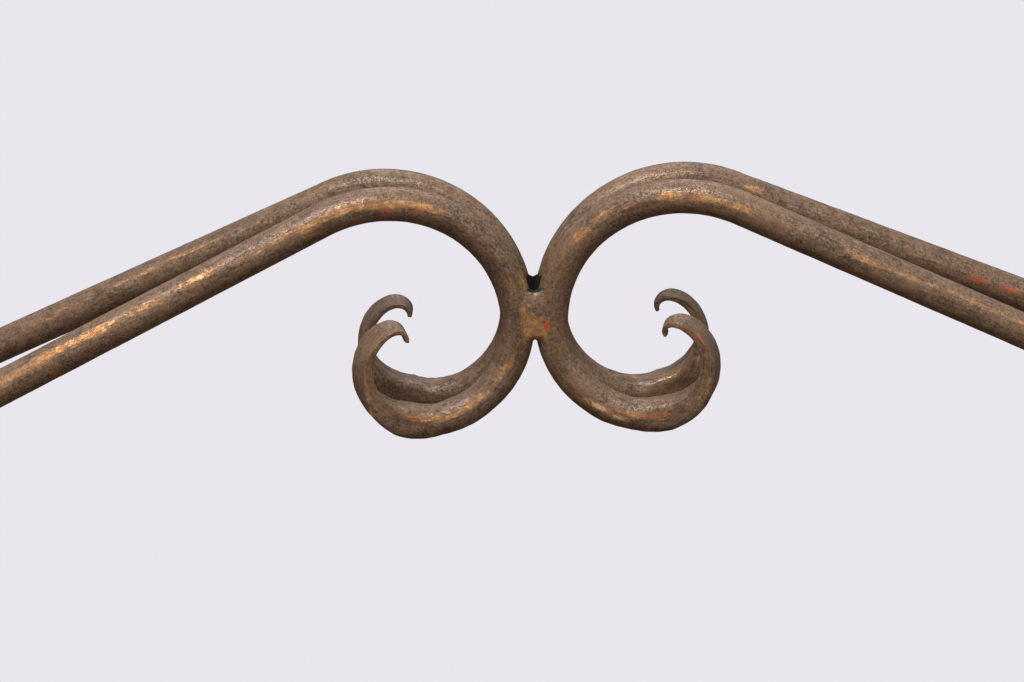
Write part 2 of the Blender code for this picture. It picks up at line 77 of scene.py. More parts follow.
# Rubbed places: mm along the bar from the bend's start (scroll negative), half length, degrees round the bar
# from its front towards the outside of the bend, half width, gilt shown, red ground shown
RUBBED = {
    "front_left": [
        (292, 22, 40, 20, 1.0, 0.2), (318, 18, 40, 21, 1.0, 0.65), (345, 32, 34, 18, 0.9, 0.3),
        (320, 3.2, -22, 16, 0.25, 1.25), (258, 16, 34, 18, 0.8, 0.1), (226, 20, 40, 17, 0.85, 0.2),
        (198, 14, 26, 10, 0.8, 0.0), (184, 8, 30, 8, 0.75, 0.0), (163, 22, 22, 18, 0.85, 0.2),
        (140, 22, 24, 22, 0.9, 0.25), (120, 22, 16, 20, 1.0, 0.1), (100, 16, 18, 18, 1.0, 0.1),
        (119, 7, -8, 14, 0.5, 0.95), (100, 7, 2, 12, 0.5, 0.9), (160, 9, -4, 14, 0.4, 0.75),
        (47, 5, 6, 9, 0.75, 0.4), (28, 8, -6, 12, 0.6, 0.1), (20, 12, 46, 18, 0.95, 0.2),
        (5, 12, 11, 10, 1.0, 0.1), (-22, 9, -14, 11, 0.8, 0.75), (-34, 12, -26, 14, 0.75, 0.15),
        (-54, 16, -28, 16, 0.95, 0.15), (-70, 12, -24, 14, 1.0, 0.2), (-86, 12, -30, 16, 1.0, 0.45),
        (-98, 8, -30, 12, 0.9, 0.7), (-150, 22, 2, 14, 0.55, 0.2),
        (-119, 5, 46, 10, 1.6, 0.0)],
    "front_right": [
        (58, 9, 24, 20, 1.0, 0.0), (74, 9, 28, 16, 0.85, 0.0), (44, 8, 20, 12, 0.6, 0.0),
        (113, 12, 20, 20, 1.0, 0.35), (130, 14, 16, 18, 1.0, 0.3), (148, 12, 18, 16, 0.9, 0.2),
        (171, 12, 20, 12, 0.6, 0.1), (92, 10, 18, 12, 0.6, 0.1), (224, 14, 24, 12, 0.85, 0.1),
        (248, 20, 30, 10, 0.75, 0.0), (285, 30, 40, 9, 0.75, 0.0), (330, 30, 40, 10, 0.8, 0.1),
        (1, 4.5, 10, 17, 0.2, 1.4), (-3, 7, 13, 10, 0.95, 0.3), (-58, 9, -2, 13, 1.7, 0.1),
        (-70, 6, 4, 10, 1.6, 0.0), (-38, 12, -8, 10, 0.5, 0.3), (-76, 12, -22, 16, 0.8, 0.35),
        (-93, 11, -14, 14, 0.75, 0.85), (-82, 8, -18, 9, 0.95, 0.3), (-160, 7, 30, 24, 0.6, 0.95),
        (-172, 8, 30, 16, 0.75, 0.1), (-120, 16, 10, 14, 0.55, 0.1)],
    "back_left": [
        (262, 26, 40, 10, 0.75, 0.1), (232, 26, 44, 9, 0.75, 0.0), (318, 20, 30, 12, 0.6, 0.1),
        (148, 12, 56, 14, 0.65, 0.3), (45, 16, 30, 12, 0.15, 1.0), (300, 18, 60, 10, 0.4, 0.3),
        (-60, 20, -120, 30, 0.5, 0.2), (90, 26, 170, 24, 0.75, 0.3), (190, 26, 168, 16, 0.8, 0.3)],
    "back_right": [
        (158, 7, 34, 14, 0.95, 0.2), (303, 10, 8, 14, 0.5, 1.05), (323, 9, 14, 14, 0.5, 1.1),
        (-110, 16, -40, 20, 0.6, 0.1), (60, 20, 160, 24, 0.75, 0.3), (230, 30, 172, 16, 0.8, 0.3),
        (-75, 16, 175, 20, 0.8, 0.4)],
}


def bar_centreline(bar):
    """Centre points, unit tangents, lengths in metres from the bend's start and turns in degrees, from the
    tip of the scroll to the end of the run. The scroll's point at turn t is the running sum of radius(t) dt
    times (sin t outwards, -cos t up). The bend is an arc, the arm a line down its slope, the level bend an
    arc tangent to arm and run."""
    hand, row, bend, slope = bar["hand"], bar["row"], bar["bend"], radians(bar["slope"])
    fall = WELD_Z + bar["lift"] + bend * cos(slope)
    splay = asin(RUN_OFFSET[row] / (bend * (1 + sin(slope)) + fall / tan(slope)))
    outward = np.array([hand * cos(splay), row * sin(splay), 0.0])
    front = np.array([outward[1], -outward[0], 0.0]) * hand
    start = np.array([hand * HALF_SPACING, WELD_Y + row * HALF_SPACING, WELD_Z + bar["lift"]])

    turn = np.radians(np.linspace(0, bar["tip_turn"], 3001))
    middle = (turn[1:] + turn[:-1]) / 2
    step = np.interp(np.degrees(middle), TURNS, np.array(bar["radii"]) / 1000) * np.diff(turn)
    out = np.concatenate([[0], np.cumsum(step * np.sin(middle))])[::-1]
    up = np.concatenate([[0], np.cumsum(-step * np.cos(middle))])[::-1]
    scroll = start + out[:, None] * outward + up[:, None] * UP

    angle = np.linspace(0, pi / 2 + slope, 900)[1:, None]
    arc = start + outward * bend * (1 - np.cos(angle)) + UP * bend * np.sin(angle)
    arm_way = UP * -sin(slope) + outward * cos(slope)
    run_way = np.array([float(hand), 0.0, 0.0])
    corner = arc[-1] - arm_way * (arc[-1][2] / arm_way[2])
    meet = acos(float(arm_way @ run_way))
    inward = run_way - arm_way * (arm_way @ run_way)
    inward = inward / np.linalg.norm(inward)
    first = corner - arm_way * LEVEL_BEND * tan(meet / 2)
    arm = arc[-1] + (first - arc[-1]) * np.linspace(0, 1, 400)[1:, None]
    part = np.linspace(0, meet, 160)[1:, None]
    level = first + inward * LEVEL_BEND * (1 - np.cos(part)) + arm_way * LEVEL_BEND * np.sin(part)
    end = np.array([hand * RUN_END, RUN_Y[row], 0.0])
    run = level[-1] + (end - level[-1]) * np.linspace(0, 1, 300)[1:, None]
    centre = np.concatenate([scroll, arc, arm, level, run])
    turns = np.concatenate([np.degrees(turn)[::-1], np.zeros(len(centre) - len(turn))])
    length = np.concatenate([[0], np.cumsum(np.linalg.norm(np.diff(centre, axis=0), axis=1))])
    return centre, length - length[len(turn) - 1], turns, front


def closed_mesh(name, points, wear_and_shade=None, place=None, ring=False):
    """A closed surface from a grid of points (rows, columns, 3) whose columns wrap round. Each end row is shut by
    a fan on its middle point, or the rows wrap round too for a ring. The faces are turned to point outwards,
    which is when the sum of corner . (second x third) over the triangles is positive."""
    rows, columns = points.shape[:2]
    index = np.arange(rows * columns).reshape(rows, columns)
    following = np.roll(index, -1, axis=1)
    if ring:
        quads = np.stack([index, following, np.roll(following, -1, 0), np.roll(index, -1, 0)], -1).reshape(-1, 4)
        vertices, triangles = points.reshape(-1, 3), np.zeros((0, 3), int)
    else:
        quads = np.stack([index[:-1], following[:-1], following[1:], index[1:]], -1).reshape(-1, 4)
        ends = np.stack([points[0].mean(0), points[-1].mean(0)])
        vertices = np.concatenate([points.reshape(-1, 3), ends])
        low, high = rows * columns, rows * columns + 1
        triangles = np.concatenate([
            np.stack([np.full(columns, low), following[0], index[0]], -1),
            np.stack([np.full(columns, high), index[-1], following[-1]], -1)])
    a, b, c, d = (vertices[quads[:, k]] for k in range(4))
    volume = np.einsum("ij,ij->", a, np.cross(b, c)) + np.einsum("ij,ij->", a, np.cross(c, d))
    if len(triangles):
        a, b, c = (vertices[triangles[:, k]] for k in range(3))
        volume += np.einsum("ij,ij->", a, np.cross(b, c))
    if volume < 0:
        quads, triangles = quads[:, ::-1], triangles[:, ::-1]
    mesh = bpy.data.meshes.new(name)
    mesh.vertices.add(len(vertices))
    mesh.vertices.foreach_set("co", vertices.astype(np.float32).ravel())
    corners = np.concatenate([quads.ravel(), triangles.ravel()])
    mesh.loops.add(len(corners))
    mesh.loops.foreach_set("vertex_index", corners.astype(np.int32))
    totals = np.concatenate([np.full(len(quads), 4), np.full(len(triangles), 3)])
    mesh.polygons.add(len(totals))
    mesh.polygons.foreach_set("loop_start", np.concatenate([[0], np.cumsum(totals)[:-1]]).astype(np.int32))
    mesh.update(calc_edges=True)
    mesh.shade_smooth()

    def whole(values, width):
        flat = values.reshape(-1, width)
        return flat if ring else np.concatenate([flat, flat[:1], flat[-1:]])

    shown = np.zeros((rows, columns, 4)) if wear_and_shade is None else np.concatenate(
        [wear_and_shade, np.zeros((rows, columns, 3 - wear_and_shade.shape[-1])), np.ones((rows, columns, 1))], -1)
    mesh.attributes.new("wear_and_shade", "FLOAT_COLOR", "POINT").data.foreach_set(
        "color", whole(shown, 4).astype(np.float32).ravel())
    mesh.attributes.new("grain_place", "FLOAT_VECTOR", "POINT").data.foreach_set(
        "vector", whole(points * (3.4, 0.4, 0.4) if place is None else place, 3).astype(np.float32).ravel())
    return mesh


def add_object(name, data):
    """A new object in the scene."""
    made = bpy.data.objects.new(name, data)
    bpy.context.scene.collection.objects.link(made)
    return made


def add_piece(name, points, material, body, slot, *nodes, wear_and_shade=None, place=None, ring=False):
    """Shows the closed surface through the points, carried by a body in place of CAD nodes. Its wear and shade values
    list the gilt, then the red ground, then the painted shade, a darkening towards black, at each point."""
    mesh = closed_mesh(name, points, None if wear_and_shade is None else np.stack(wear_and_shade, -1), place, ring)
    mesh.materials.append(material)
    piece = add_object(name, mesh)
    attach(piece, body)
    if nodes:
        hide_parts(*nodes)


def round_angles(count):
    """Angles once round a section, as a row."""
    return np.linspace(0, 2 * pi, count, endpoint=False)[None]


def waves(x, y, seed, count=9, low=60.0, high=420.0):
    """A smooth wandering height between about -1 and 1: a mean of sines with seeded directions and phases."""
    draw = np.random.default_rng(seed)
    total = np.zeros(np.broadcast(x, y).shape)
    for _ in range(count):
        size, way, phase = draw.uniform(low, high), draw.uniform(0, 2 * pi), draw.uniform(0, 2 * pi)
        total += np.sin(size * (x * cos(way) + y * sin(way)) + phase)
    return total / sqrt(count)


def hammer_flats(x, y, z, seed, blow, spread):
    """Height of shallow flats left by hammer blows: (distance to the nearest blow / blow size) squared, at
    most 1, so each blow is a hollow and blows meet in soft ridges. Blows are seeded points in the spread."""
    draw = np.random.default_rng(seed)
    low, high = np.array(spread[0]), np.array(spread[1])
    count = max(4, int(np.prod(np.maximum(high - low, blow) / blow)))
    blows = draw.uniform(low, high, (count, 3))
    nearest = np.full(x.size, 1e9)
    points = np.stack([x.ravel(), y.ravel(), z.ravel()], -1)
    for begin in range(0, len(points), 20000):
        some = points[begin:begin + 20000]
        square = (some ** 2).sum(1)[:, None] + (blows ** 2).sum(1)[None] - 2 * some @ blows.T
        nearest[begin:begin + 20000] = square.min(1)
    return np.minimum(nearest / blow ** 2, 1.0).reshape(x.shape)


def signed_power(value, power):
    """sign(value) |value| ** power, which turns a circle's sine and cosine into a superellipse's."""
    return np.sign(value) * np.abs(value) ** power


FLAT_FROM = 108                        # turn at which the round bar starts to be forged flat
TIP_HALF_THICK, TIP_ROUND, END_ROUND = 0.0013, 0.0013, 0.001
FINE_TO, FINE_STEP, COARSE_STEP = 0.165, 0.0010, 0.0017
SLOPE_STEP = 0.0004                    # to either side of a point, for its tangent
RUN_PATCHES, BACK_PATCHES = 16, 12     # seeded rubbed places beyond the listed ones, and on the back


def bar_surface(name, bar):
    """Points, wear with painted shade, and straightened places of one bar. Its section at each length is the
    superellipse |thickness / a| ** p + |width / b| ** p = 1: a circle up to the bottom of the scroll, then thinner
    and squarer to the tip. Seeded waves and hammer flats move each point in or out by up to 0.3 mm."""
    centre, length, turns, front = bar_centreline(bar)
    seed = list(BARS).index(name)
    s = np.concatenate([
        length[0] + TIP_ROUND * (1 - np.cos(np.linspace(0.12, pi / 2, 9)))[:-1],
        np.arange(length[0] + TIP_ROUND, FINE_TO, FINE_STEP),
        np.arange(FINE_TO, length[-1] - END_ROUND, COARSE_STEP),
        length[-1] - END_ROUND + END_ROUND * np.sin(np.linspace(0, pi / 2 - 0.1, 6))])
    middle, ahead, behind = (
        np.stack([np.interp(s + shift, length, centre[:, k]) for k in range(3)], -1)
        for shift in (0, SLOPE_STEP, -SLOPE_STEP))
    tangent = ahead - behind
    tangent /= np.linalg.norm(tangent, axis=1, keepdims=True)
    outer = np.cross(front, tangent) * bar["hand"]
    turn = np.interp(s, length, turns)

    flat = np.clip((turn - FLAT_FROM) / (bar["thin_turn"] - FLAT_FROM), 0, 1)
    thick = BAR_RADIUS + (TIP_HALF_THICK - BAR_RADIUS) * (1 - (1 - flat) ** 2.2)
    wide = BAR_RADIUS + (bar["tip_width"] / 2 - BAR_RADIUS) * flat ** 1.3
    wide = wide * (1 + 0.022 * waves(s, s * 0, 31 + seed, 5, 90, 260) * (flat > 0))
    thick = thick * (1 + 0.012 * waves(s, s * 0, 51 + seed, 6, 60, 300) * np.clip(turn / 60, 0.15, 1))
    power = 2 + (bar["squareness"] - 2) * np.clip((turn - 84) / 72, 0, 1)
    twist = radians(bar["twist"]) * np.clip((turn - 106) / 60, 0, 1) * np.clip((290 - turn) / 70, 0, 1)
    thick = np.maximum(thick - 0.75 * wide * np.sin(twist), 0.62 * thick)
    twist = twist[:, None]
    outer, front = outer * np.cos(twist) + front * np.sin(twist), front * np.cos(twist) - outer * np.sin(twist)
    tip_round = np.sqrt(np.clip(1 - (1 - np.clip((s - length[0]) / TIP_ROUND, 0, 1)) ** 2, 0, 1))
    end_round = 1 - 0.1 * np.clip((s - length[-1] + END_ROUND) / END_ROUND, 0, 1) ** 2
    shrink = (tip_round * end_round)[:, None]

    angle = round_angles(72)
    across = signed_power(np.sin(angle), 2 / power[:, None]) * thick[:, None] * shrink
    along = signed_power(np.cos(angle), 2 / power[:, None]) * wide[:, None] * shrink
    size = np.sqrt(across ** 2 + along ** 2) + 1e-9
    lengths = np.broadcast_to(s[:, None], across.shape)
    worked = np.clip((turn - 30) / 60, 0, 1)[:, None]
    flats = hammer_flats(lengths, across, along, 71 + seed, BLOW,
                         ((s[0], -0.010, -0.010), (s[-1], 0.010, 0.010)))
    shift = (flats - 0.5) * (0.00007 + 0.00034 * worked)
    shift += (0.00004 + 0.00007 * worked) * waves(lengths, angle * BAR_RADIUS, 91 + seed, 14, 120, 1100)
    shift *= np.clip(size / 0.004, 0, 1) * shrink
    across, along = across * (1 + shift / size), along * (1 + shift / size)
    points = (middle[:, None] + outer[:, None] * across[..., None] + front[:, None] * along[..., None])
    place = np.stack([lengths, across, along], -1)

    degrees_round = np.degrees(np.arctan2(across / thick[:, None], along / wide[:, None]))
    gilt, ground = np.zeros_like(across), np.zeros_like(across)
    draw = np.random.default_rng(11 + seed)
    patches = list(RUBBED[name])
    for _ in range(RUN_PATCHES):
        patches.append((draw.uniform(360, 1000 * (length[-1] - length[0])), draw.uniform(8, 30),
                        draw.uniform(-20, 60), draw.uniform(8, 16), draw.uniform(0.5, 0.95), draw.uniform(0, 0.6)))
    for _ in range(BACK_PATCHES):
        patches.append((draw.uniform(-190, 700), draw.uniform(6, 18), draw.uniform(120, 240),
                        draw.uniform(8, 16), draw.uniform(0.4, 0.8), draw.uniform(0, 0.7)))
    for at, half, way, spread, shown, red in patches:
        off = (degrees_round - way + 180) % 360 - 180
        reach = np.exp(-np.abs((lengths * 1000 - at) / half) ** 2.4) * np.exp(-np.abs(off / spread) ** 2.4)
        gilt = np.maximum(gilt, shown * reach)
        ground = np.maximum(ground, red * reach)
    ridge = np.exp(-((degrees_round - 24 + 30 * worked) / 26) ** 2)
    gilt = np.maximum(gilt, 0.26 * ridge)
    ribbon_edge = np.clip(np.abs(np.cos(angle)) * 1.6 - 0.8, 0, 1) * flat[:, None]
    gilt = np.maximum(gilt, 0.36 * ribbon_edge)
    front_face = np.exp(-((degrees_round - 4) / 36) ** 4) * np.clip((turn - 100) / 60, 0, 1)[:, None]
    gilt = np.maximum(gilt, 0.50 * front_face)
    # Painted shade: near-black darkening in the crevice round the cluster's middle below the welds' tops, on the
    # scroll's inner face, and lightly on its flat front face, where shade falls.
    from_middle = np.hypot(points[..., 0], points[..., 1] - WELD_Y)
    reach = 0.0086 + 0.0022 * (bar["row"] > 0)
    painted_shade = np.clip((reach - from_middle) / 0.0016, 0, 1) * np.clip((WELD_Z + 0.024 - points[..., 2]) / 0.004, 0, 1)
    inner_face = np.exp(-((degrees_round + 90) / 34) ** 2) * np.clip((turn - 70) / 60, 0, 1)[:, None]
    painted_shade = np.maximum(painted_shade, np.maximum(0.50 * inner_face, 0.30 * front_face))
    return points, [gilt, ground, painted_shade], place


def join(tree, *pairs):
    """Links each pair's output to its input."""
    for source, target in pairs:
        tree.links.new(source, target)


def mixed(tree, factor, first, second):
    """Colour between first and second by factor. Each is a socket or a plain colour."""
    node = tree.nodes.new("ShaderNodeMix")
    node.data_type = "RGBA"
    for slot_index, value in ((0, factor), (6, first), (7, second)):
        if isinstance(value, bpy.types.NodeSocket):
            tree.links.new(value, node.inputs[slot_index])
        else:
            node.inputs[slot_index].default_value = value
    return node.outputs[2]


def sums(tree, *terms, start=0.0):
    """start plus each term's value times its weight; terms are (socket, weight) pairs."""
    total = start
    for value, weight in terms:
        node = tree.nodes.new("ShaderNodeMath")
        node.operation = "MULTIPLY_ADD"
        tree.links.new(value, node.inputs[0])
        node.inputs[1].default_value = weight
        if isinstance(total, float):
            node.inputs[2].default_value = total
        else:
            tree.links.new(total, node.inputs[2])
        total = node.outputs[0]
    return total


def stepped(tree, value, low, high, to_low=0.0, to_high=1.0):
    """to_low below low, to_high above high, and t^2 (3 - 2 t) of the way between them."""
    node = tree.nodes.new("ShaderNodeMapRange")
    node.interpolation_type = "SMOOTHSTEP"
    tree.links.new(value, node.inputs[0])
    for k, number in enumerate((low, high, to_low, to_high)):
        node.inputs[k + 1].default_value = number
    return node.outputs[0]


def noise(tree, vector, scale, detail=3.0, rough=0.6, stretch=None):
    """Noise of about 0 to 1 at a place, which stretch may scale by axis first."""
    if stretch is not None:
        mapping = tree.nodes.new("ShaderNodeMapping")
        tree.links.new(vector, mapping.inputs[0])
        mapping.inputs["Scale"].default_value = stretch
        vector = mapping.outputs[0]
    node = tree.nodes.new("ShaderNodeTexNoise")
    tree.links.new(vector, node.inputs["Vector"])
    node.inputs["Scale"].default_value = scale
    node.inputs["Detail"].default_value = detail
    node.inputs["Roughness"].default_value = rough
    return node.outputs[0]


PAINT, PAINT_DARK, PAINT_WARM = (0.268, 0.166, 0.104, 1), (0.084, 0.046, 0.025, 1), (0.215, 0.120, 0.060, 1)
DUST, PIT, THIN_PAINT = (0.36, 0.27, 0.20, 1), (0.024, 0.013, 0.008, 1), (0.40, 0.205, 0.085, 1)
GOLD, GOLD_DULL, RED_GROUND = (0.86, 0.46, 0.19, 1), (0.44, 0.17, 0.055, 1), (0.42, 0.085, 0.022, 1)
# The last colour here is painted shade: the near-black laid where shade falls, in crevices and on shaded faces.
CHIP, PAINTED_SHADE_BLACK = (0.60, 0.45, 0.32, 1), (0.006, 0.005, 0.004, 1)


def rubbed_paint_group():
    """Grey-brown paint over gilding over a red ground. Noise on the object's place mottles the paint and pits it;
    gilt shows where Gilt plus noise stretched along the bar passes a half, and the red ground likewise. The shade
    input, with grain, darkens the colour to near black and roughens it: painted shade."""
    tree = bpy.data.node_groups.new("paint_rubbed_to_gilt", "ShaderNodeTree")
    for way, sockets in (
            ("INPUT", (("Place", "Vector", None), ("Grain Place", "Vector", None), ("Gilt", "Float", 0.0),
                       ("Red Ground", "Float", 0.0), ("Painted Shade", "Float", 0.0), ("Paint", "Color", PAINT),
                       ("Paint Dark", "Color", PAINT_DARK))),
            ("OUTPUT", (("Color", "Color", None), ("Roughness", "Float", None), ("Metallic", "Float", None),
                        ("Height", "Float", None)))):
        for label, kind, value in sockets:
            made = tree.interface.new_socket(name=label, in_out=way, socket_type="NodeSocket" + kind)
            if value is not None:
                made.default_value = value
    given = tree.nodes.new("NodeGroupInput").outputs
    result = tree.nodes.new("NodeGroupOutput").inputs
    place = given["Place"]
    clouds = noise(tree, place, 30, 3)
    mottle = noise(tree, place, 150, 4, 0.62)
    grain = noise(tree, place, 620, 4, 0.68)
    speck = noise(tree, place, 1500, 2, 0.6)
    streak = noise(tree, given["Grain Place"], 1.0, 4, 0.66, (85.0, 900.0, 900.0))
    blot = noise(tree, place, 260, 4, 0.7)

    shade = stepped(tree, sums(tree, (mottle, 0.6), (grain, 0.8), (streak, 0.6), (clouds, 0.35), start=-0.68),
                    0.22, 0.76)
    paint = mixed(tree, shade, given["Paint Dark"], given["Paint"])
    warm = stepped(tree, sums(tree, (clouds, 0.7), (streak, 0.5), start=-0.1), 0.42, 0.68, 0.0, 0.5)
    paint = mixed(tree, warm, paint, PAINT_WARM)
    dusty = stepped(tree, speck, 0.62, 0.74, 0.0, 0.5)
    paint = mixed(tree, dusty, paint, DUST)
    pit = stepped(tree, sums(tree, (speck, 0.8), (grain, 0.5), (blot, 0.3), start=-0.28), 0.41, 0.50, 1.0, 0.0)
    paint = mixed(tree, sums(tree, (pit, 0.52)), paint, PIT)
    thin = stepped(tree, sums(tree, (given["Gilt"], 1.0), (streak, 0.9), start=-0.45), 0.15, 1.1, 0.0, 0.7)
    paint = mixed(tree, thin, paint, THIN_PAINT)

    gold = mixed(tree, stepped(tree, blot, 0.35, 0.65), GOLD_DULL, GOLD)
    gilt = stepped(tree, sums(tree, (given["Gilt"], 1.0), (streak, 2.3), (grain, 2.2), (mottle, 1.1),
                              start=-2.92), 0.48, 1.15, 0.0, 0.92)
    chip = stepped(tree, sums(tree, (given["Gilt"], 1.0), (blot, 0.8), start=-0.4), 1.22, 1.42)
    red = stepped(tree, sums(tree, (given["Red Ground"], 1.0), (streak, 1.2), (grain, 1.4), start=-1.3),
                  0.55, 1.0, 0.0, 0.85)
    colour = mixed(tree, gilt, paint, gold)
    colour = mixed(tree, red, colour, RED_GROUND)
    colour = mixed(tree, chip, colour, CHIP)
    # Painted shade: near black where the shade input is high.
    painted_shade = stepped(tree, sums(tree, (given["Painted Shade"], 1.0), (grain, 0.6), start=-0.3), 0.25, 0.8)
    colour = mixed(tree, painted_shade, colour, PAINTED_SHADE_BLACK)
    join(tree, (colour, result["Color"]),
         (sums(tree, (grain, 0.34), (pit, 0.15), (gilt, -0.12), (painted_shade, 0.4), start=0.20), result["Roughness"]),
         (sums(tree, (gilt, 0.48), (red, -0.20), (chip, -0.4), start=0.16), result["Metallic"]),
         (sums(tree, (grain, 0.55), (mottle, 0.35), (speck, 0.15), (pit, -0.35), (gilt, -0.12)),
          result["Height"]))
    return tree


RUBBED_PAINT = rubbed_paint_group()


def wear_and_shade_parts(tree):
    """The wear and painted shade at each point: gilt, red ground and painted shade."""
    wear_and_shade = tree.nodes.new("ShaderNodeAttribute")
    wear_and_shade.attribute_name = "wear_and_shade"
    split = tree.nodes.new("ShaderNodeSeparateColor")
    tree.links.new(wear_and_shade.outputs["Color"], split.inputs[0])
    return split.outputs


def bare_material(name):
    """A new material, its node tree and its shader's inputs."""
    material = bpy.data.materials.new(name)
    material.use_nodes = True
    return material, material.node_tree, material.node_tree.nodes["Principled BSDF"].inputs


def raised(tree, height, distance, shader):
    """Bumps the shader's normal by the height, distance metres at most."""
    relief = tree.nodes.new("ShaderNodeBump")
    relief.inputs["Strength"].default_value = 1.0
    relief.inputs["Distance"].default_value = distance
    join(tree, (height, relief.inputs["Height"]), (relief.outputs["Normal"], shader["Normal"]))


def painted(name, paint=PAINT, dark=PAINT_DARK, bump=0.00036):
    """A material of the rubbed paint with its own colours and depth of grain."""
    material, tree, shader = bare_material(name)
    group = tree.nodes.new("ShaderNodeGroup")
    group.node_tree = RUBBED_PAINT
    group.inputs["Paint"].default_value = paint
    group.inputs["Paint Dark"].default_value = dark
    coordinate = tree.nodes.new("ShaderNodeTexCoord")
    grain = tree.nodes.new("ShaderNodeAttribute")
    grain.attribute_name = "grain_place"
    join(tree, (coordinate.outputs["Object"], group.inputs["Place"]),
         (grain.outputs["Vector"], group.inputs["Grain Place"]),
         *zip(wear_and_shade_parts(tree), (group.inputs[label] for label in ("Gilt", "Red Ground", "Painted Shade"))),
         (group.outputs["Color"], shader["Base Color"]),
         *((group.outputs[label], shader[label]) for label in ("Roughness", "Metallic")))
    raised(tree, group.outputs["Height"], bump, shader)
    shader["Specular IOR Level"].default_value = 0.5
    return material


rod_paint = painted("rod_paint_rubbed")
for name, bar in BARS.items():
    points, wear_and_shade, place = bar_surface(name, bar)
    add_piece(name + "_bar_forged", points, rod_paint, "rod", "rod_paint", name + "_bar", wear_and_shade=wear_and_shade, place=place)

# ---------------------------------------------------------------------------------------------------------
# The welds that hold the four bars in a square. Each is a web of iron run into the groove between two bars,
# filed nearly flush, gilded with them and rubbed bright in front.

# Each weld's two bars, the way it faces, its top and bottom from the cluster's middle, and the degrees round the
# bars at which its face starts
WELDS = {
    "front_centre_weld": (("front_left", "front_right"), (0.0, -1.0), 0.0189, -0.0092, 14),
    "back_centre_weld": (("back_left", "back_right"), (0.0, 1.0), 0.0181, -0.0095, 14),
    "left_side_weld": (("front_left", "back_left"), (-1.0, 0.0), 0.0098, -0.0078, 26),
    "right_side_weld": (("front_right", "back_right"), (1.0, 0.0), 0.0098, -0.0078, 26),
}


def weld_surface(pair, way, top, bottom, lap):
    """The web between two bars. At each height its face is the curve depth = d t^2 + m (1 - t^2), t from -1 at
    one bar to 1 at the other, where d is the bars' depth at the lap angle and m a little less. Towards both
    ends the lap angle grows and m falls along a quarter circle, which rounds the web's ends into the groove."""
    half_columns = 32
    v = np.linspace(-1, 1, 80)
    v = np.sign(v) * (1 - (1 - np.abs(v)) ** 1.6)
    z = (top + bottom) / 2 + v * (top - bottom) / 2
    centres = []
    for name in pair:
        centre, length = bar_centreline(BARS[name])[:2]
        near = np.abs(length) < 0.035
        order = np.argsort(centre[near, 2])
        centres.append(np.stack([np.interp(z + WELD_Z, centre[near, 2][order], centre[near, k][order])
                                 for k in (0, 1)], -1))
    middle = (centres[0] + centres[1]) / 2
    across = centres[1] - centres[0]
    half = np.linalg.norm(across, axis=1) / 2
    across = across / (2 * half[:, None])
    inside = np.clip(np.minimum((z - bottom) / 0.0040, (top - z) / 0.0120), 0, 1)
    full = np.sqrt(1 - (1 - inside) ** 2)
    lap_angle = np.radians(lap + (66 - lap) * (1 - full))
    bitten = BAR_RADIUS - 0.00012
    width = half - bitten * np.sin(lap_angle)
    deep = bitten * np.cos(lap_angle)
    shallow = 0.0034 + (0.0083 - 0.0034) * full
    t = np.linspace(-1, 1, half_columns)
    face = deep[:, None] * t ** 2 + shallow[:, None] * (1 - t ** 2)
    face += 0.00012 * waves(t[None] * 0.006, z[:, None], 5, 8, 300, 1500) * (1 - t ** 2) * full[:, None]
    root = np.minimum(0.0030, deep - 0.0004)[:, None] * np.ones(half_columns)
    sides = np.concatenate([t[None] * width[:, None], t[None, ::-1] * np.maximum(width - 0.0002, 1e-4)[:, None]], 1)
    depth = np.concatenate([face, root], 1)
    edge = 0.0022 * (np.concatenate([t, t[::-1]]) ** 2)[None] * ((1 - full) * np.sign(v))[:, None]
    flat = middle[:, None] + across[:, None] * sides[..., None] + np.array(way) * depth[..., None]
    points = np.concatenate([flat, (z[:, None] + WELD_Z + edge)[..., None]], -1)
    # Painted shade: the web's top and its recessed middle are painted near black, where shade falls between the bars.
    painted_shade = np.clip((z[:, None] - top + 0.0004) / 0.0003, 0, 1) * np.ones_like(depth)
    painted_shade = np.maximum(painted_shade, np.clip((0.0034 - depth) / 0.0004, 0, 1))
    return points, z, np.concatenate([t, t[::-1]]), painted_shade


weld_paint = painted("weld_paint_rubbed", (0.275, 0.172, 0.105, 1), (0.100, 0.058, 0.032, 1), 0.00018)
for name, (pair, way, top, bottom, lap) in WELDS.items():
    points, z, t, painted_shade = weld_surface(pair, way, top, bottom, lap)
    height, spread = z[:, None], t[None]
    ragged = waves(height, spread * 0.006, 21, 12, 250, 2200)
    bright = 0.98 if name == "front_centre_weld" else 0.55
    reach = -0.75 + 2.1 * np.clip((0.013 - height) / 0.014, 0, 1)
    gilt = bright * np.clip((reach - spread) / 0.5 + 0.5 + 0.4 * ragged, 0, 1)
    gilt *= np.clip((0.017 - height) / 0.004, 0, 1)
    gilt = np.minimum(gilt * (0.95 + 0.2 * ragged), 1.05)
    ground = 1.5 * np.exp(-((height + 0.0005) / 0.004) ** 2) * np.exp(-((spread - 1.0) / 0.45) ** 2)
    add_piece(name + "_filed", points, weld_paint, "rod", "weld_gilt", name, wear_and_shade=[gilt, ground, painted_shade])

# ---------------------------------------------------------------------------------------------------------
# The finials: a ball on a neck and a banded collar, forged and turned hot, pushed over the end of each run.
# Painted with the rod and rubbed on the ball's crown.

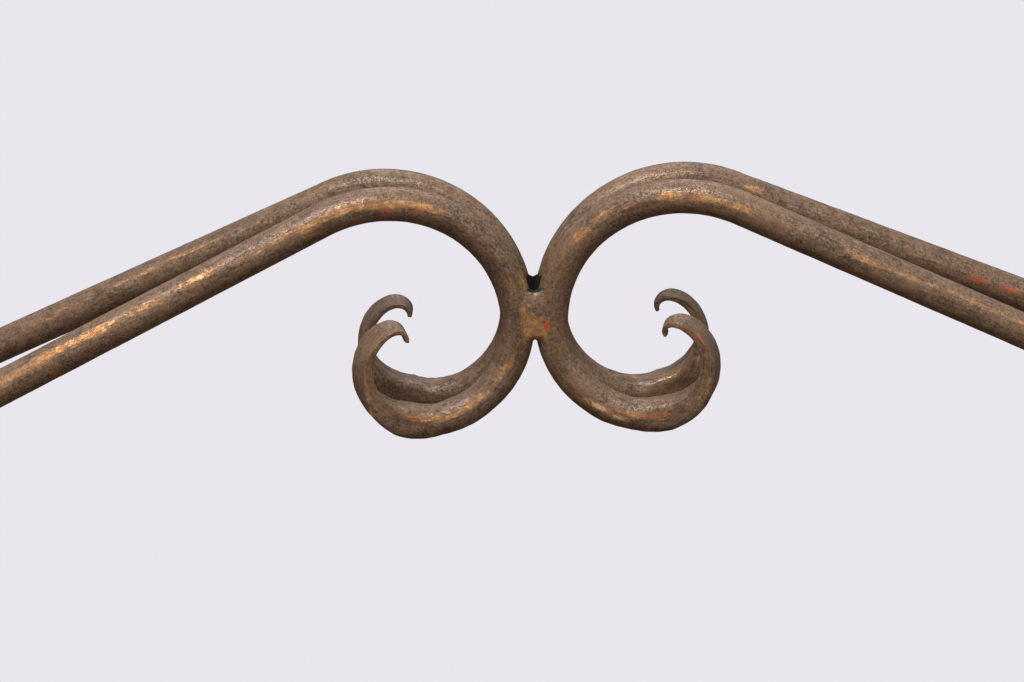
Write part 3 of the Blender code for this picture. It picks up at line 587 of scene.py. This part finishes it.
def spun_surface(profile, around, axis, place, bend=None):
    """A turned surface: each (along, radius) of the profile carried round the axis, x = along, y = radius cos a,
    z = radius sin a, then set down at place. bend(points along, around, radius) may change the radius."""
    profile = np.asarray(profile, float)
    angle = round_angles(around)
    along = np.broadcast_to(profile[:, :1], (len(profile), around))
    radius = np.broadcast_to(profile[:, 1:], (len(profile), around))
    if bend is not None:
        radius = radius + bend(along, angle, radius)
    axis = np.asarray(axis, float)
    first = np.array([0.0, 0.0, 1.0]) if abs(axis[2]) < 0.5 else np.array([1.0, 0.0, 0.0])
    second = np.cross(axis, first)
    return (np.asarray(place) + along[..., None] * axis + (radius * np.cos(angle))[..., None] * first
            + (radius * np.sin(angle))[..., None] * second)


def smooth_profile(corners, step=0.0004, soften=0.0005):
    """A profile through corner points, walked in even steps and averaged over a short length, so each corner
    becomes a small round. The ends stay where they are."""
    corners = np.asarray(corners, float)
    length = np.concatenate([[0], np.cumsum(np.linalg.norm(np.diff(corners, axis=0), axis=1))])
    at = np.linspace(0, length[-1], max(8, int(length[-1] / step)))
    total = np.zeros((len(at), 2))
    for shift in np.linspace(-soften, soften, 9):
        reach = np.minimum(soften, np.minimum(at, length[-1] - at)) / soften
        total += np.stack([np.interp(at + shift * reach, length, corners[:, k]) for k in (0, 1)], -1)
    return total / 9


BALL, NECK, COLLAR, BORE = 0.019, 0.007, 0.013, 0.0098
SOCKET, SHOULDER, NECK_LENGTH = 0.014, 0.005, 0.007


def finial_profile():
    """Bore floor, bore, mouth, a collar with two rolled bands and a groove, neck, then the ball's arc."""
    middle = SHOULDER + NECK_LENGTH + sqrt(BALL ** 2 - NECK ** 2)
    points = [(0.0003, 0.0), (0.0003, BORE), (-SOCKET, BORE), (-SOCKET, COLLAR - 0.0008),
              (-SOCKET + 0.0006, COLLAR + 0.0004), (-SOCKET + 0.0042, COLLAR + 0.0004),
              (-SOCKET + 0.0050, COLLAR - 0.0007), (SHOULDER - 0.0062, COLLAR - 0.0009),
              (SHOULDER - 0.0054, COLLAR + 0.0003), (SHOULDER - 0.0012, COLLAR + 0.0003),
              (SHOULDER, COLLAR - 0.0016), (SHOULDER + 0.0012, NECK + 0.0012), (SHOULDER + 0.0035, NECK)]
    arc = np.linspace(pi - asin(NECK / BALL), 0.02, 60)
    points += [(middle + BALL * cos(a), BALL * sin(a)) for a in arc]
    points.append((middle + BALL, 0.0))
    return smooth_profile(points), middle


finial_paint = painted("finial_paint_rubbed", (0.270, 0.172, 0.108, 1))
profile, ball_middle = finial_profile()
for number, (name, bar) in enumerate(BARS.items()):
    def blows(along, angle, radius, number=number):
        """Hammer flats up to 0.25 mm deep over the ball and fainter ones on the collar."""
        outside = (radius > BORE + 0.0006) | (along > 0.002)
        height = hammer_flats(along, radius * np.cos(angle), radius * np.sin(angle), 400 + number, 0.0075,
                              ((-0.02, -0.022, -0.022), (0.06, 0.022, 0.022)))
        return (height - 0.6) * np.where(along > SHOULDER, 0.00034, 0.00012) * outside * np.clip(radius / 0.006, 0, 1)

    points = spun_surface(profile, 96, (bar["hand"], 0, 0), (bar["hand"] * RUN_END, RUN_Y[bar["row"]], 0.0), blows)
    along = np.broadcast_to(profile[:, :1], points.shape[:2])
    radius = np.broadcast_to(profile[:, 1:], points.shape[:2])
    crown = np.exp(-((along - ball_middle - 0.004) / 0.013) ** 2)
    bands = (radius > COLLAR).astype(float)
    gilt = np.maximum(0.50 * crown, 0.55 * bands)
    ground = 0.45 * crown * (waves(along, points[..., 1], 600 + number, 6, 80, 300) > 0.4)
    add_piece(name + "_finial_ball", points, finial_paint, "rod", "finial_paint", name + "_finial",
              wear_and_shade=[gilt, ground])

# ---------------------------------------------------------------------------------------------------------
# The wall plates: hammered flat iron with rounded corners and softened edges, painted like the rod.
# Each is held by two screws.

SIDES = (("left", -1), ("right", 1))
BRACKET_X = 0.66
PLATE_HALF, PLATE_DEEP, PLATE_HIGH, PLATE_LOW, PLATE_CORNER = 0.028, 0.006, 0.040, -0.130, 0.014


def plate_surface(x, seed):
    """Rows from the middle of the front, out to the edge, over a rounded edge and in again to the middle of the
    back. A row is the plate's outline, a rounded rectangle, scaled about its middle; the front is planished."""
    middle = (PLATE_HIGH + PLATE_LOW) / 2
    inner_x, inner_z = PLATE_HALF - PLATE_CORNER, (PLATE_HIGH - PLATE_LOW) / 2 - PLATE_CORNER
    outline, normal = [], []
    corners = [(inner_x, inner_z), (-inner_x, inner_z), (-inner_x, -inner_z), (inner_x, -inner_z)]
    for k, (cx, cz) in enumerate(corners):
        for a in np.linspace(k * pi / 2, (k + 1) * pi / 2, 14):
            outline.append((cx + PLATE_CORNER * cos(a), cz + PLATE_CORNER * sin(a)))
            normal.append((cos(a), sin(a)))
        following = corners[(k + 1) % 4]
        count = 40 if k % 2 else 12
        for part in np.linspace(0, 1, count + 2)[1:-1]:
            a = (k + 1) * pi / 2
            outline.append((cx + (following[0] - cx) * part + PLATE_CORNER * cos(a),
                            cz + (following[1] - cz) * part + PLATE_CORNER * sin(a)))
            normal.append((cos(a), sin(a)))
    outline, normal = np.array(outline), np.array(normal)
    edge, back_edge = 0.0014, 0.0008
    rows, depth, inset = [], [], []
    for f in np.linspace(0.01, 1, 34):
        rows.append(f), depth.append(-PLATE_DEEP), inset.append(edge)
    for a in np.linspace(0, pi / 2, 7)[1:]:
        rows.append(1), depth.append(-PLATE_DEEP + edge * (1 - cos(a))), inset.append(edge * (1 - sin(a)))
    for a in np.linspace(0, pi / 2, 6)[1:]:
        rows.append(1), depth.append(-back_edge + back_edge * sin(a)), inset.append(back_edge * (1 - cos(a)))
    for f in np.linspace(1, 0.01, 8)[1:]:
        rows.append(f), depth.append(0.0), inset.append(back_edge)
    rows, depth, inset = (np.array(v)[:, None] for v in (rows, depth, inset))
    px = (outline[None, :, 0] - normal[None, :, 0] * inset) * rows
    pz = (outline[None, :, 1] - normal[None, :, 1] * inset) * rows
    wobble = 0.00020 * waves(px * 0.4, pz * 0.4, seed, 6, 100, 500) * (rows >= 1)
    px, pz = px + normal[None, :, 0] * wobble, pz + normal[None, :, 1] * wobble
    flats = hammer_flats(px, pz, np.zeros_like(px), seed, BLOW, ((-0.03, -0.09, 0), (0.03, 0.09, 0.004)))
    front = np.clip(1 - (depth + PLATE_DEEP) / 0.004, 0, 1)
    py = depth + front * (0.00035 * (1 - flats))
    on_edge = np.exp(-((depth + PLATE_DEEP - 0.0006) / 0.0010) ** 2) * (rows >= 0.99)
    points = np.stack([px + x, np.broadcast_to(py, px.shape), pz + middle], -1)
    return points, np.broadcast_to(on_edge, px.shape)


bracket_paint = painted("bracket_paint_rubbed", (0.225, 0.148, 0.098, 1), (0.070, 0.043, 0.027, 1), 0.00026)
for side, hand in SIDES:
    points, on_edge = plate_surface(hand * BRACKET_X, 800 + hand)
    add_piece(side + "_wall_plate_hammered", points, bracket_paint, "brackets", "bracket_paint",
              side + "_wall_plate", wear_and_shade=[0.52 * on_edge, 0.25 * on_edge])

# ---------------------------------------------------------------------------------------------------------
# The bracket arms: flat bars standing out from the plates with rounded tips, welded to the plate, and the round
# braces bent under them.

CUP_BOTTOM = -0.0159
GAP = 0.0003                           # between pieces that touch
ARM_TOP = CUP_BOTTOM - GAP
ARM_DEEP, ARM_HALF, ARM_TIP_ROUND = 0.008, 0.011, 0.006
ARM_TIP = RUN_Y[-1] - 0.028
ARM_BOTTOM = ARM_TOP - ARM_DEEP
BRACE_BEND = 0.085


def arm_surface(x, seed):
    """A flat bar: the section |x / w| ** 9 + |z / h| ** 9 = 1 carried out from the plate. It narrows at the tip as
    a rounded corner, w = w0 - r + sqrt(r^2 - (r - e)^2), e the distance from the tip, and flares in a fillet
    of weld where it meets the plate."""
    e = np.concatenate([0.006 * (1 - np.cos(np.linspace(0.05, pi / 2, 16))),
                        np.arange(0.0065, -0.0065 - ARM_TIP, 0.0016)])
    root = -0.0061 - ARM_TIP
    e = np.concatenate([e, root - 0.003 * (1 - np.linspace(0, 1, 8))])
    e = np.unique(np.clip(e, 0, root))
    narrow = np.clip(ARM_TIP_ROUND - e, 0, ARM_TIP_ROUND)
    half = ARM_HALF - ARM_TIP_ROUND + np.sqrt(ARM_TIP_ROUND ** 2 - narrow ** 2)
    thick = ARM_DEEP / 2 * np.sqrt(1 - np.clip(1 - e / 0.0012, 0, 0.9) ** 2)
    flare = 0.0020 * np.clip(1 - (root - e) / 0.003, 0, 1) ** 2
    angle = round_angles(72)
    power = 2 / 9.0
    across = signed_power(np.cos(angle), power) * (half + flare)[:, None]
    rise = signed_power(np.sin(angle), power) * (thick + flare)[:, None]
    y = np.broadcast_to(ARM_TIP + e[:, None], across.shape)
    flats = hammer_flats(across, y, rise, seed, BLOW, ((-0.012, ARM_TIP, -0.005), (0.012, 0, 0.005)))
    rise = rise * (1 - 0.045 * (1 - flats))
    across = across * (1 - 0.012 * (1 - flats))
    points = np.stack([x + across, y, ARM_TOP - ARM_DEEP / 2 + rise], -1)
    edge = np.exp(-((np.abs(np.sin(angle)) - np.abs(np.cos(angle))) / 0.5) ** 2) * np.ones_like(across)
    return points, edge


def brace_surface(x, seed):
    """A 10 mm round bar bent to an arc of 85 mm radius from the plate's foot to the arm's underside, where its ends
    are set down and spread a little into their welds."""
    foot, head = np.array([-0.0063, -0.096]), np.array([-0.118, ARM_BOTTOM - GAP])
    count = 150
    chord = head - foot
    half = np.linalg.norm(chord) / 2
    normal = np.array([chord[1], -chord[0]]) / (2 * half)
    normal = normal * (-1 if normal[1] > 0 else 1)
    centre = (foot + head) / 2 - normal * sqrt(BRACE_BEND ** 2 - half ** 2)
    begin, end = np.arctan2(*(foot - centre)[::-1]), np.arctan2(*(head - centre)[::-1])
    if end > begin:
        end -= 2 * pi
    extra = 0.0012 / BRACE_BEND
    t = np.linspace(begin + extra, end - extra, count)
    ends = np.minimum(np.arange(count), np.arange(count)[::-1]) * (begin - end) * BRACE_BEND / count
    radius = 0.0049 + 0.0011 * np.clip(1 - ends / 0.006, 0, 1) ** 2
    angle = round_angles(40)
    radius = radius[:, None] + 0.00012 * waves(t[:, None] * BRACE_BEND, angle * 0.005, seed, 9, 120, 900)
    out = np.stack([np.cos(t), np.sin(t)], -1)
    across, away = radius * np.cos(angle), radius * np.sin(angle)
    y = centre[0] + out[:, None, 0] * (BRACE_BEND + away)
    z = centre[1] + out[:, None, 1] * (BRACE_BEND + away)
    y = np.minimum(y, -0.0061)
    z = np.where(np.arange(count)[:, None] > 120, np.minimum(z, ARM_BOTTOM - 0.0001), z)
    return np.stack([x + across, y, z], -1), np.broadcast_to(np.clip(-np.sin(angle), 0, 1), across.shape)


for side, hand in SIDES:
    points, edge = arm_surface(hand * BRACKET_X, 820 + hand)
    add_piece(side + "_bracket_arm_flat", points, bracket_paint, "brackets", "bracket_paint",
              side + "_bracket_arm", wear_and_shade=[0.46 * edge, 0.2 * edge])
    points, front = brace_surface(hand * BRACKET_X, 840 + hand)
    add_piece(side + "_brace_bent", points, bracket_paint, "brackets", "bracket_paint", side + "_brace",
              wear_and_shade=[0.3 * front, 0.1 * front])

# ---------------------------------------------------------------------------------------------------------
# The cups: straps bent to a U that hold the runs, on a small forged seat, riveted to the arm. A raised boss in
# front takes the thumb screw.

CUP_BORE, CUP_WALL, CUP_RISE, CUP_HALF = 0.0099, 0.0045, 0.0115, 0.011


def cup_surface(x, y, seed):
    """A strap of rounded rectangular section carried down one wall, round the half circle and up the other."""
    middle = CUP_BORE + CUP_WALL / 2
    total = 2 * CUP_RISE + pi * middle
    s = np.concatenate([[0.0, 0.0001, 0.0003, 0.0006], np.linspace(0.001, total - 0.001, 110),
                        total - np.array([0.0006, 0.0003, 0.0001, 0.0])])
    turn = np.clip((s - CUP_RISE) / middle, 0, pi)
    way = np.stack([-np.cos(turn), -np.sin(turn)], -1)
    extra = np.where(s < CUP_RISE, CUP_RISE - s, np.where(s > total - CUP_RISE, s - total + CUP_RISE, 0))
    centre = way * middle + np.stack([np.zeros_like(s), extra], -1)
    e = np.minimum(s, total - s)
    shrink = np.sqrt(1 - np.clip(1 - (e + 0.00008) / 0.001, 0, 1) ** 2) * 0.35 + 0.65
    angle = round_angles(64)
    across = signed_power(np.cos(angle), 2 / 10) * CUP_HALF * (0.96 + 0.04 * shrink[:, None])
    outward = signed_power(np.sin(angle), 2 / 7) * (CUP_WALL / 2) * shrink[:, None]
    flats = hammer_flats(across, *(np.broadcast_to(centre[:, None, k], outward.shape) for k in (0, 1)), seed, 0.0075,
                         ((-0.012, -0.015, -0.015), (0.012, 0.015, 0.015)))
    outward = np.where(np.sin(angle) > 0.2, outward - 0.00028 * (1 - flats), outward)
    points = np.stack([x + across, y + centre[:, None, 0] + way[:, None, 0] * outward,
                       centre[:, None, 1] + way[:, None, 1] * outward], -1)
    rim = np.exp(-(e / 0.0016) ** 2)[:, None] * np.ones_like(across)
    edge = np.clip(np.abs(np.cos(angle)) * 1.5 - 0.75, 0, 1) * np.clip(np.sin(angle) + 0.3, 0, 1)
    return points, np.maximum(rim, 0.8 * edge)


def cup_seat_surface(x, y):
    """A block with a hollow top that fits the strap: rows rise from the arm to the strap's underside."""
    angle = round_angles(64)
    v = np.linspace(0, 1, 14)[:, None]
    half = 0.0078 - 0.0012 * np.sin(v * pi) + 0.0022 * v ** 3
    across = signed_power(np.cos(angle), 2 / 8) * (CUP_HALF - 0.0004 - 0.0012 * np.sin(v * pi))
    along = signed_power(np.sin(angle), 2 / 6) * half
    outer = CUP_BORE + CUP_WALL - 0.0006
    top_z = -np.sqrt(np.maximum(outer ** 2 - along ** 2, 0))
    z = CUP_BOTTOM + (top_z - CUP_BOTTOM) * v
    return np.stack([x + across, y + along, z * np.ones_like(across)], -1)


def boss_profile():
    """A rounded collar section, 3.3 and 6 mm in radius, standing 2.8 mm out from the cup."""
    a = np.linspace(0, 2 * pi, 28, endpoint=False)
    return np.stack([-0.0156 + signed_power(np.cos(a), 2 / 5) * 0.0016,
                     0.00465 + signed_power(np.sin(a), 2 / 5) * 0.00135], -1)


cup_paint = painted("cup_paint_rubbed", (0.245, 0.155, 0.098, 1))
for name, bar in BARS.items():
    x, y = bar["hand"] * BRACKET_X, RUN_Y[bar["row"]]
    points, edge = cup_surface(x, y, 860 + list(BARS).index(name))
    add_piece(name + "_cup_strap", points, cup_paint, "brackets", "cup_paint", name + "_cup",
              wear_and_shade=[0.6 * edge, 0.3 * edge])
    add_piece(name + "_cup_seat", cup_seat_surface(x, y), cup_paint, "brackets", "cup_paint")
    points = spun_surface(boss_profile(), 48, (0, 1, 0), (x, y, 0))
    add_piece(name + "_cup_boss", points, cup_paint, "brackets", "cup_paint", ring=True,
              wear_and_shade=[np.full(points.shape[:2], 0.4)] * 2)

# ---------------------------------------------------------------------------------------------------------
# The rivets that hold the cups: iron pins closed under the arm with a few blows to a low dome.

def rivet_profile():
    """Crown, low dome, underside of the head, then the pin up into the cup."""
    under, high = ARM_BOTTOM - GAP, 0.0035
    points = [(under - high * cos(a), 0.0055 * sin(a)) for a in np.linspace(0.0, pi / 2, 24)]
    points += [(under, 0.0031), (under, 0.0030), (CUP_BOTTOM + 0.0034, 0.0030), (CUP_BOTTOM + 0.0035, 0.0)]
    return smooth_profile(points, 0.0003, 0.0002)


rivet_iron = painted("rivet_iron_hammered", (0.180, 0.125, 0.085, 1), (0.055, 0.035, 0.023, 1), 0.00028)
for number, (name, bar) in enumerate(BARS.items()):
    def dents(along, angle, radius, number=number):
        """Small hammer flats on the closed head."""
        head = (along < ARM_BOTTOM - 0.0005)
        height = hammer_flats(along, radius * np.cos(angle), radius * np.sin(angle), 900 + number, 0.004,
                              ((-0.03, -0.006, -0.006), (-0.02, 0.006, 0.006)))
        return 0.0003 * (height - 0.6) * head * np.clip(radius / 0.003, 0, 1)

    points = spun_surface(rivet_profile(), 48, (0, 0, 1),
                          (bar["hand"] * BRACKET_X, RUN_Y[bar["row"]], 0.0), dents)
    crown = np.clip((ARM_BOTTOM - 0.0025 - points[..., 2]) / 0.001, 0, 1)
    add_piece(name + "_rivet_closed", points, rivet_iron, "brackets", "rivet_iron", name + "_rivet",
              wear_and_shade=[0.45 * crown, 0.2 * crown])

# ---------------------------------------------------------------------------------------------------------
# The thumb screws: 6 mm steel with a 1 mm thread and a flattened paddle to turn by hand. Their points stand
# just short of the rod; each paddle turns, and its shank backs out with it.

def worn_steel():
    """Dark oiled steel: brown-black bloom over grey metal, with fine turning marks and brighter worn places."""
    material, tree, shader = bare_material("screw_steel_worn")
    coordinate = tree.nodes.new("ShaderNodeTexCoord").outputs["Object"]
    bloom = noise(tree, coordinate, 240, 4, 0.62)
    grain = noise(tree, coordinate, 1300, 3, 0.6)
    metal = mixed(tree, stepped(tree, bloom, 0.35, 0.65), (0.10, 0.085, 0.070, 1), (0.22, 0.20, 0.175, 1))
    rusty = stepped(tree, sums(tree, (bloom, -0.6), (grain, 0.9), start=0.30), 0.46, 0.62, 0.0, 0.7)
    metal = mixed(tree, rusty, metal, (0.10, 0.045, 0.018, 1))
    bright = stepped(tree, sums(tree, (wear_and_shade_parts(tree)[0], 1.0), (grain, 0.8), start=-0.4), 0.35, 0.7, 0.0, 0.75)
    join(tree, (mixed(tree, bright, metal, (0.42, 0.40, 0.37, 1)), shader["Base Color"]),
         (sums(tree, (grain, 0.3), (bright, -0.12), start=0.26), shader["Roughness"]),
         (sums(tree, (rusty, -0.6), start=0.9), shader["Metallic"]))
    raised(tree, sums(tree, (grain, 0.8), (bloom, 0.4)), 0.00010, shader)
    return material


def threaded_surface(length, radius, pitch, deep, axis, place, point):
    """A screw's shank: radius minus deep times how far each point is from the nearest crest of a helix, in half
    pitches, (along / pitch - a / 2 pi) wrapped. The thread fades out at both ends."""
    around = 36
    along = np.concatenate([[0.0], np.arange(0.0001, length - 0.0001, pitch / 12), [length]])[:, None]
    phase = (along / pitch - round_angles(around) / (2 * pi)) % 1.0
    groove = deep * np.abs(2 * phase - 1) ** 1.3
    fade = np.clip((length - along) / (2 * pitch), 0, 1) * np.clip(along / pitch, 0.3, 1)
    r = (radius - groove * fade) * np.clip(0.62 + 0.38 * along / point, 0, 1)
    points = spun_surface(np.concatenate([along, 0 * along], 1), around, axis, place, lambda *_: r)
    return points, np.clip(1 - groove / deep * 1.5, 0, 1)


def paddle_surface(x, y):
    """Neck and paddle in one: superellipse sections along the screw, from a round neck to a blade whose height
    follows a circle, sqrt(R^2 - (u - R)^2), dished a little where the thumb presses."""
    reach = 0.0220
    u = reach * (1 - np.cos(np.linspace(0.0, pi, 90))) / 2
    u[0], u[-1] = 0.00002, reach - 0.00002
    blade = np.sqrt(np.maximum(0.010 ** 2 - (u - 0.012) ** 2, 0))
    neck = 0.0045 * np.sqrt(np.clip(1 - (1 - np.clip(u / 0.0008, 0, 1)) ** 2, 0.3, 1))
    mix = np.clip((u - 0.0018) / 0.0032, 0, 1) ** 2 * (3 - 2 * np.clip((u - 0.0018) / 0.0032, 0, 1))
    high = neck * (1 - mix) + blade * mix
    high[-1] = 0.0004
    end = np.sqrt(np.clip(1 - (1 - np.clip((reach - u) / 0.0012, 0, 1)) ** 2, 0.02, 1))
    thick = (neck * (1 - mix) + 0.0022 * mix) * end
    angle = round_angles(64)
    power = 2 / (2 + 1.2 * mix[:, None])
    across = signed_power(np.cos(angle), power) * thick[:, None]
    rise = signed_power(np.sin(angle), power) * high[:, None]
    centre = np.exp(-((u[:, None] - 0.0125) / 0.0055) ** 2 - (rise / 0.0055) ** 2)
    across = across * (1 - 0.28 * centre)
    points = np.stack([x + across, y - u[:, None] * np.ones_like(across), rise], -1)
    rim = np.clip(np.abs(np.sin(angle)) ** 6 + np.exp(-((reach - u) / 0.002) ** 2)[:, None], 0, 1) * mix[:, None]
    return points, rim


screw_steel = worn_steel()
THUMB_LENGTH, THUMB_RADIUS, THUMB_PITCH, THUMB_DEEP, THUMB_POINT = 0.018, 0.003, 0.001, 0.0004, 0.0012
for name, bar in BARS.items():
    x, tip = bar["hand"] * BRACKET_X, RUN_Y[bar["row"]] - BAR_RADIUS - GAP
    points, crest = threaded_surface(THUMB_LENGTH, THUMB_RADIUS, THUMB_PITCH, THUMB_DEEP, (0, -1, 0), (x, tip, 0.0),
                                     THUMB_POINT)
    add_piece(name + "_thumb_shank_threaded", points, screw_steel, name + "_thumb_shank", "screw_steel",
              name + "_thumb_shank", wear_and_shade=[0.5 * crest])
    points, rim = paddle_surface(x, tip - THUMB_LENGTH - GAP)
    add_piece(name + "_thumb_paddle_forged", points, screw_steel, name + "_thumb_paddle", "screw_steel",
              name + "_thumb_paddle", wear_and_shade=[0.6 * rim])

# ---------------------------------------------------------------------------------------------------------
# The wall screws: slotted round heads in front of the plates, with tapered woodscrew threads behind them.

def wall_screw_surface(x, z, tilt):
    """Rows run over the dome from its middle, under the head and down the threaded shank to its point. The slot is
    cut where a point of the dome is within half its width of a line through the middle, at the tilt."""
    top, high, wide = -0.0063, 0.0032, 0.0055
    arc = np.linspace(0.02, pi / 2, 60)
    dome = np.stack([top - high * np.cos(arc) ** 0.9, wide * np.sin(arc)], -1)
    under = np.array([[top, 0.0046], [top, 0.0030], [top + 0.0004, 0.0025]])
    along = np.arange(0.0012, 0.0455, 0.00022)
    taper = 0.0025 * np.clip((0.0462 - along) / 0.012, 0.08, 1)
    shank = np.stack([top + along, taper], -1)
    profile = np.concatenate([dome, under, shank])
    angle = round_angles(96)
    a, r = profile[:, :1] * np.ones_like(angle), profile[:, 1:] * np.ones_like(angle)
    pitch, deep, slot_half = 0.0022, 0.0007, 0.00075
    threaded = np.clip((a - 0.010) / 0.004, 0, 1)
    phase = ((a / pitch) - angle / (2 * pi)) % 1.0
    r = r - threaded * deep * np.clip(np.abs(2 * phase - 1) * 1.6, 0, 1) * np.clip(r / 0.0012, 0, 1)
    px, pz = r * np.cos(angle), r * np.sin(angle)
    off = np.abs(px * sin(tilt) - pz * cos(tilt))
    slot = np.clip((slot_half - off) / 0.00012, 0, 1) * (a < top - 0.0004)
    a = np.where(slot > 0, a + slot * (np.minimum(top - high + 0.0015, top - 0.0004) - a).clip(0, 1), a)
    return np.stack([x + px, a, z + pz], -1), slot


for side, hand in SIDES:
    for number, (label, z) in enumerate((("upper", 0.022), ("lower", -0.112))):
        points, slot = wall_screw_surface(hand * BRACKET_X, z, 0.5 + 1.3 * number + 0.7 * hand)
        rim = np.exp(-((points[..., 1] + 0.0085) / 0.0008) ** 2)
        name = f"{side}_{label}_wall_screw"
        add_piece(name + "_slotted", points, screw_steel, "brackets", "screw_steel", name, wear_and_shade=[0.35 * rim])

# ---------------------------------------------------------------------------------------------------------
# The camera, the light and the floor. A long lens looks down a little on the middle of the rod.

VIEW_LENS = 75.2
LOOK_DOWN, LOOK_RIGHT, LEAN = radians(21.06), radians(0.84), radians(-1.29)
STAND_OFF, ASIDE, ABOVE = 1.226, 0.0126, 0.0150

def set_down(thing, right, up, back, place):
    """Turns a thing so its own x, y and z point right, up and back, and moves it to the place."""
    thing.matrix_world = Matrix([[right[k], up[k], back[k], place[k]] for k in range(3)] + [[0, 0, 0, 1]])


sight = np.array([sin(LOOK_RIGHT) * cos(LOOK_DOWN), cos(LOOK_RIGHT) * cos(LOOK_DOWN), -sin(LOOK_DOWN)])
level_right = np.array([cos(LOOK_RIGHT), -sin(LOOK_RIGHT), 0.0])
level_up = np.cross(level_right, sight)
right = cos(LEAN) * level_right + sin(LEAN) * level_up
upright = -sin(LEAN) * level_right + cos(LEAN) * level_up
eye = np.array([0.0, WELD_Y, WELD_Z]) - (ASIDE * right + ABOVE * upright + STAND_OFF * sight)
camera = add_object("camera", bpy.data.cameras.new("camera"))
camera.data.lens = VIEW_LENS
camera.data.sensor_width = 36.0
camera.data.clip_end = 100.0
set_down(camera, right, upright, -sight, eye)
bpy.context.scene.camera = camera
bpy.context.scene.view_settings.view_transform = "Standard"

PALE = (0.815, 0.797, 0.850, 1.0)
world = bpy.data.worlds.new("studio")
bpy.context.scene.world = world
world.use_nodes = True
tree = world.node_tree
background = tree.nodes["Background"]
direction = tree.nodes.new("ShaderNodeTexCoord")
parts = tree.nodes.new("ShaderNodeSeparateXYZ")
tree.links.new(direction.outputs["Generated"], parts.inputs[0])
sky = tree.nodes.new("ShaderNodeMapRange")
tree.links.new(parts.outputs["Z"], sky.inputs[0])
for k, number in enumerate((-0.45, 0.80, 0.035, 0.68)):
    sky.inputs[k + 1].default_value = number
tint = mixed(tree, sky.outputs[0], (0, 0, 0, 1), (1.0, 0.985, 1.0, 1))
paths = tree.nodes.new("ShaderNodeLightPath")
tree.links.new(mixed(tree, paths.outputs["Is Camera Ray"], tint, PALE), background.inputs["Color"])

FLOOR_REACH, FLOOR_Z = 30, -2.2
floor_mesh = bpy.data.meshes.new("floor")
floor_mesh.from_pydata([(x * FLOOR_REACH, y * FLOOR_REACH, FLOOR_Z) for x, y in ((-1, -1), (1, -1), (1, 1), (-1, 1))],
                       [], [(0, 1, 2, 3)])
floor = add_object("floor", floor_mesh)
floor_material, tree, shader = bare_material("floor_pale")
paths = tree.nodes.new("ShaderNodeLightPath")
shader["Base Color"].default_value = (0.16, 0.10, 0.06, 1)
shader["Roughness"].default_value = 0.9
pale = tree.nodes.new("ShaderNodeEmission")
pale.inputs["Color"].default_value = PALE
choice = tree.nodes.new("ShaderNodeMixShader")
join(tree, (paths.outputs["Is Camera Ray"], choice.inputs[0]),
     (tree.nodes["Principled BSDF"].outputs[0], choice.inputs[1]), (pale.outputs[0], choice.inputs[2]),
     (choice.outputs[0], tree.nodes["Material Output"].inputs["Surface"]))
floor_mesh.materials.append(floor_material)


def softbox(name, place, width, height, power, colour=(1, 1, 1)):
    """A soft rectangular light at place, turned to shine at the middle of the cluster."""
    light = bpy.data.lights.new(name, "AREA")
    light.shape, light.size, light.size_y = "RECTANGLE", width, height
    light.energy, light.color = power, colour
    way = np.array([0.0, WELD_Y, WELD_Z]) - np.array(place, float)
    way /= np.linalg.norm(way)
    side = np.cross(way, UP)
    side /= np.linalg.norm(side)
    set_down(add_object(name, light), side, np.cross(side, way), -way, place)


softbox("key_above_front", (-0.30, -0.72, 1.45), 1.1, 0.42, 26.0, (1.0, 0.985, 0.96))
softbox("fill_right", (1.5, -1.2, 0.7), 0.8, 0.8, 5.0, (1.0, 0.98, 0.95))
softbox("rim_behind", (0.2, 1.2, 1.4), 1.6, 0.5, 8.0)
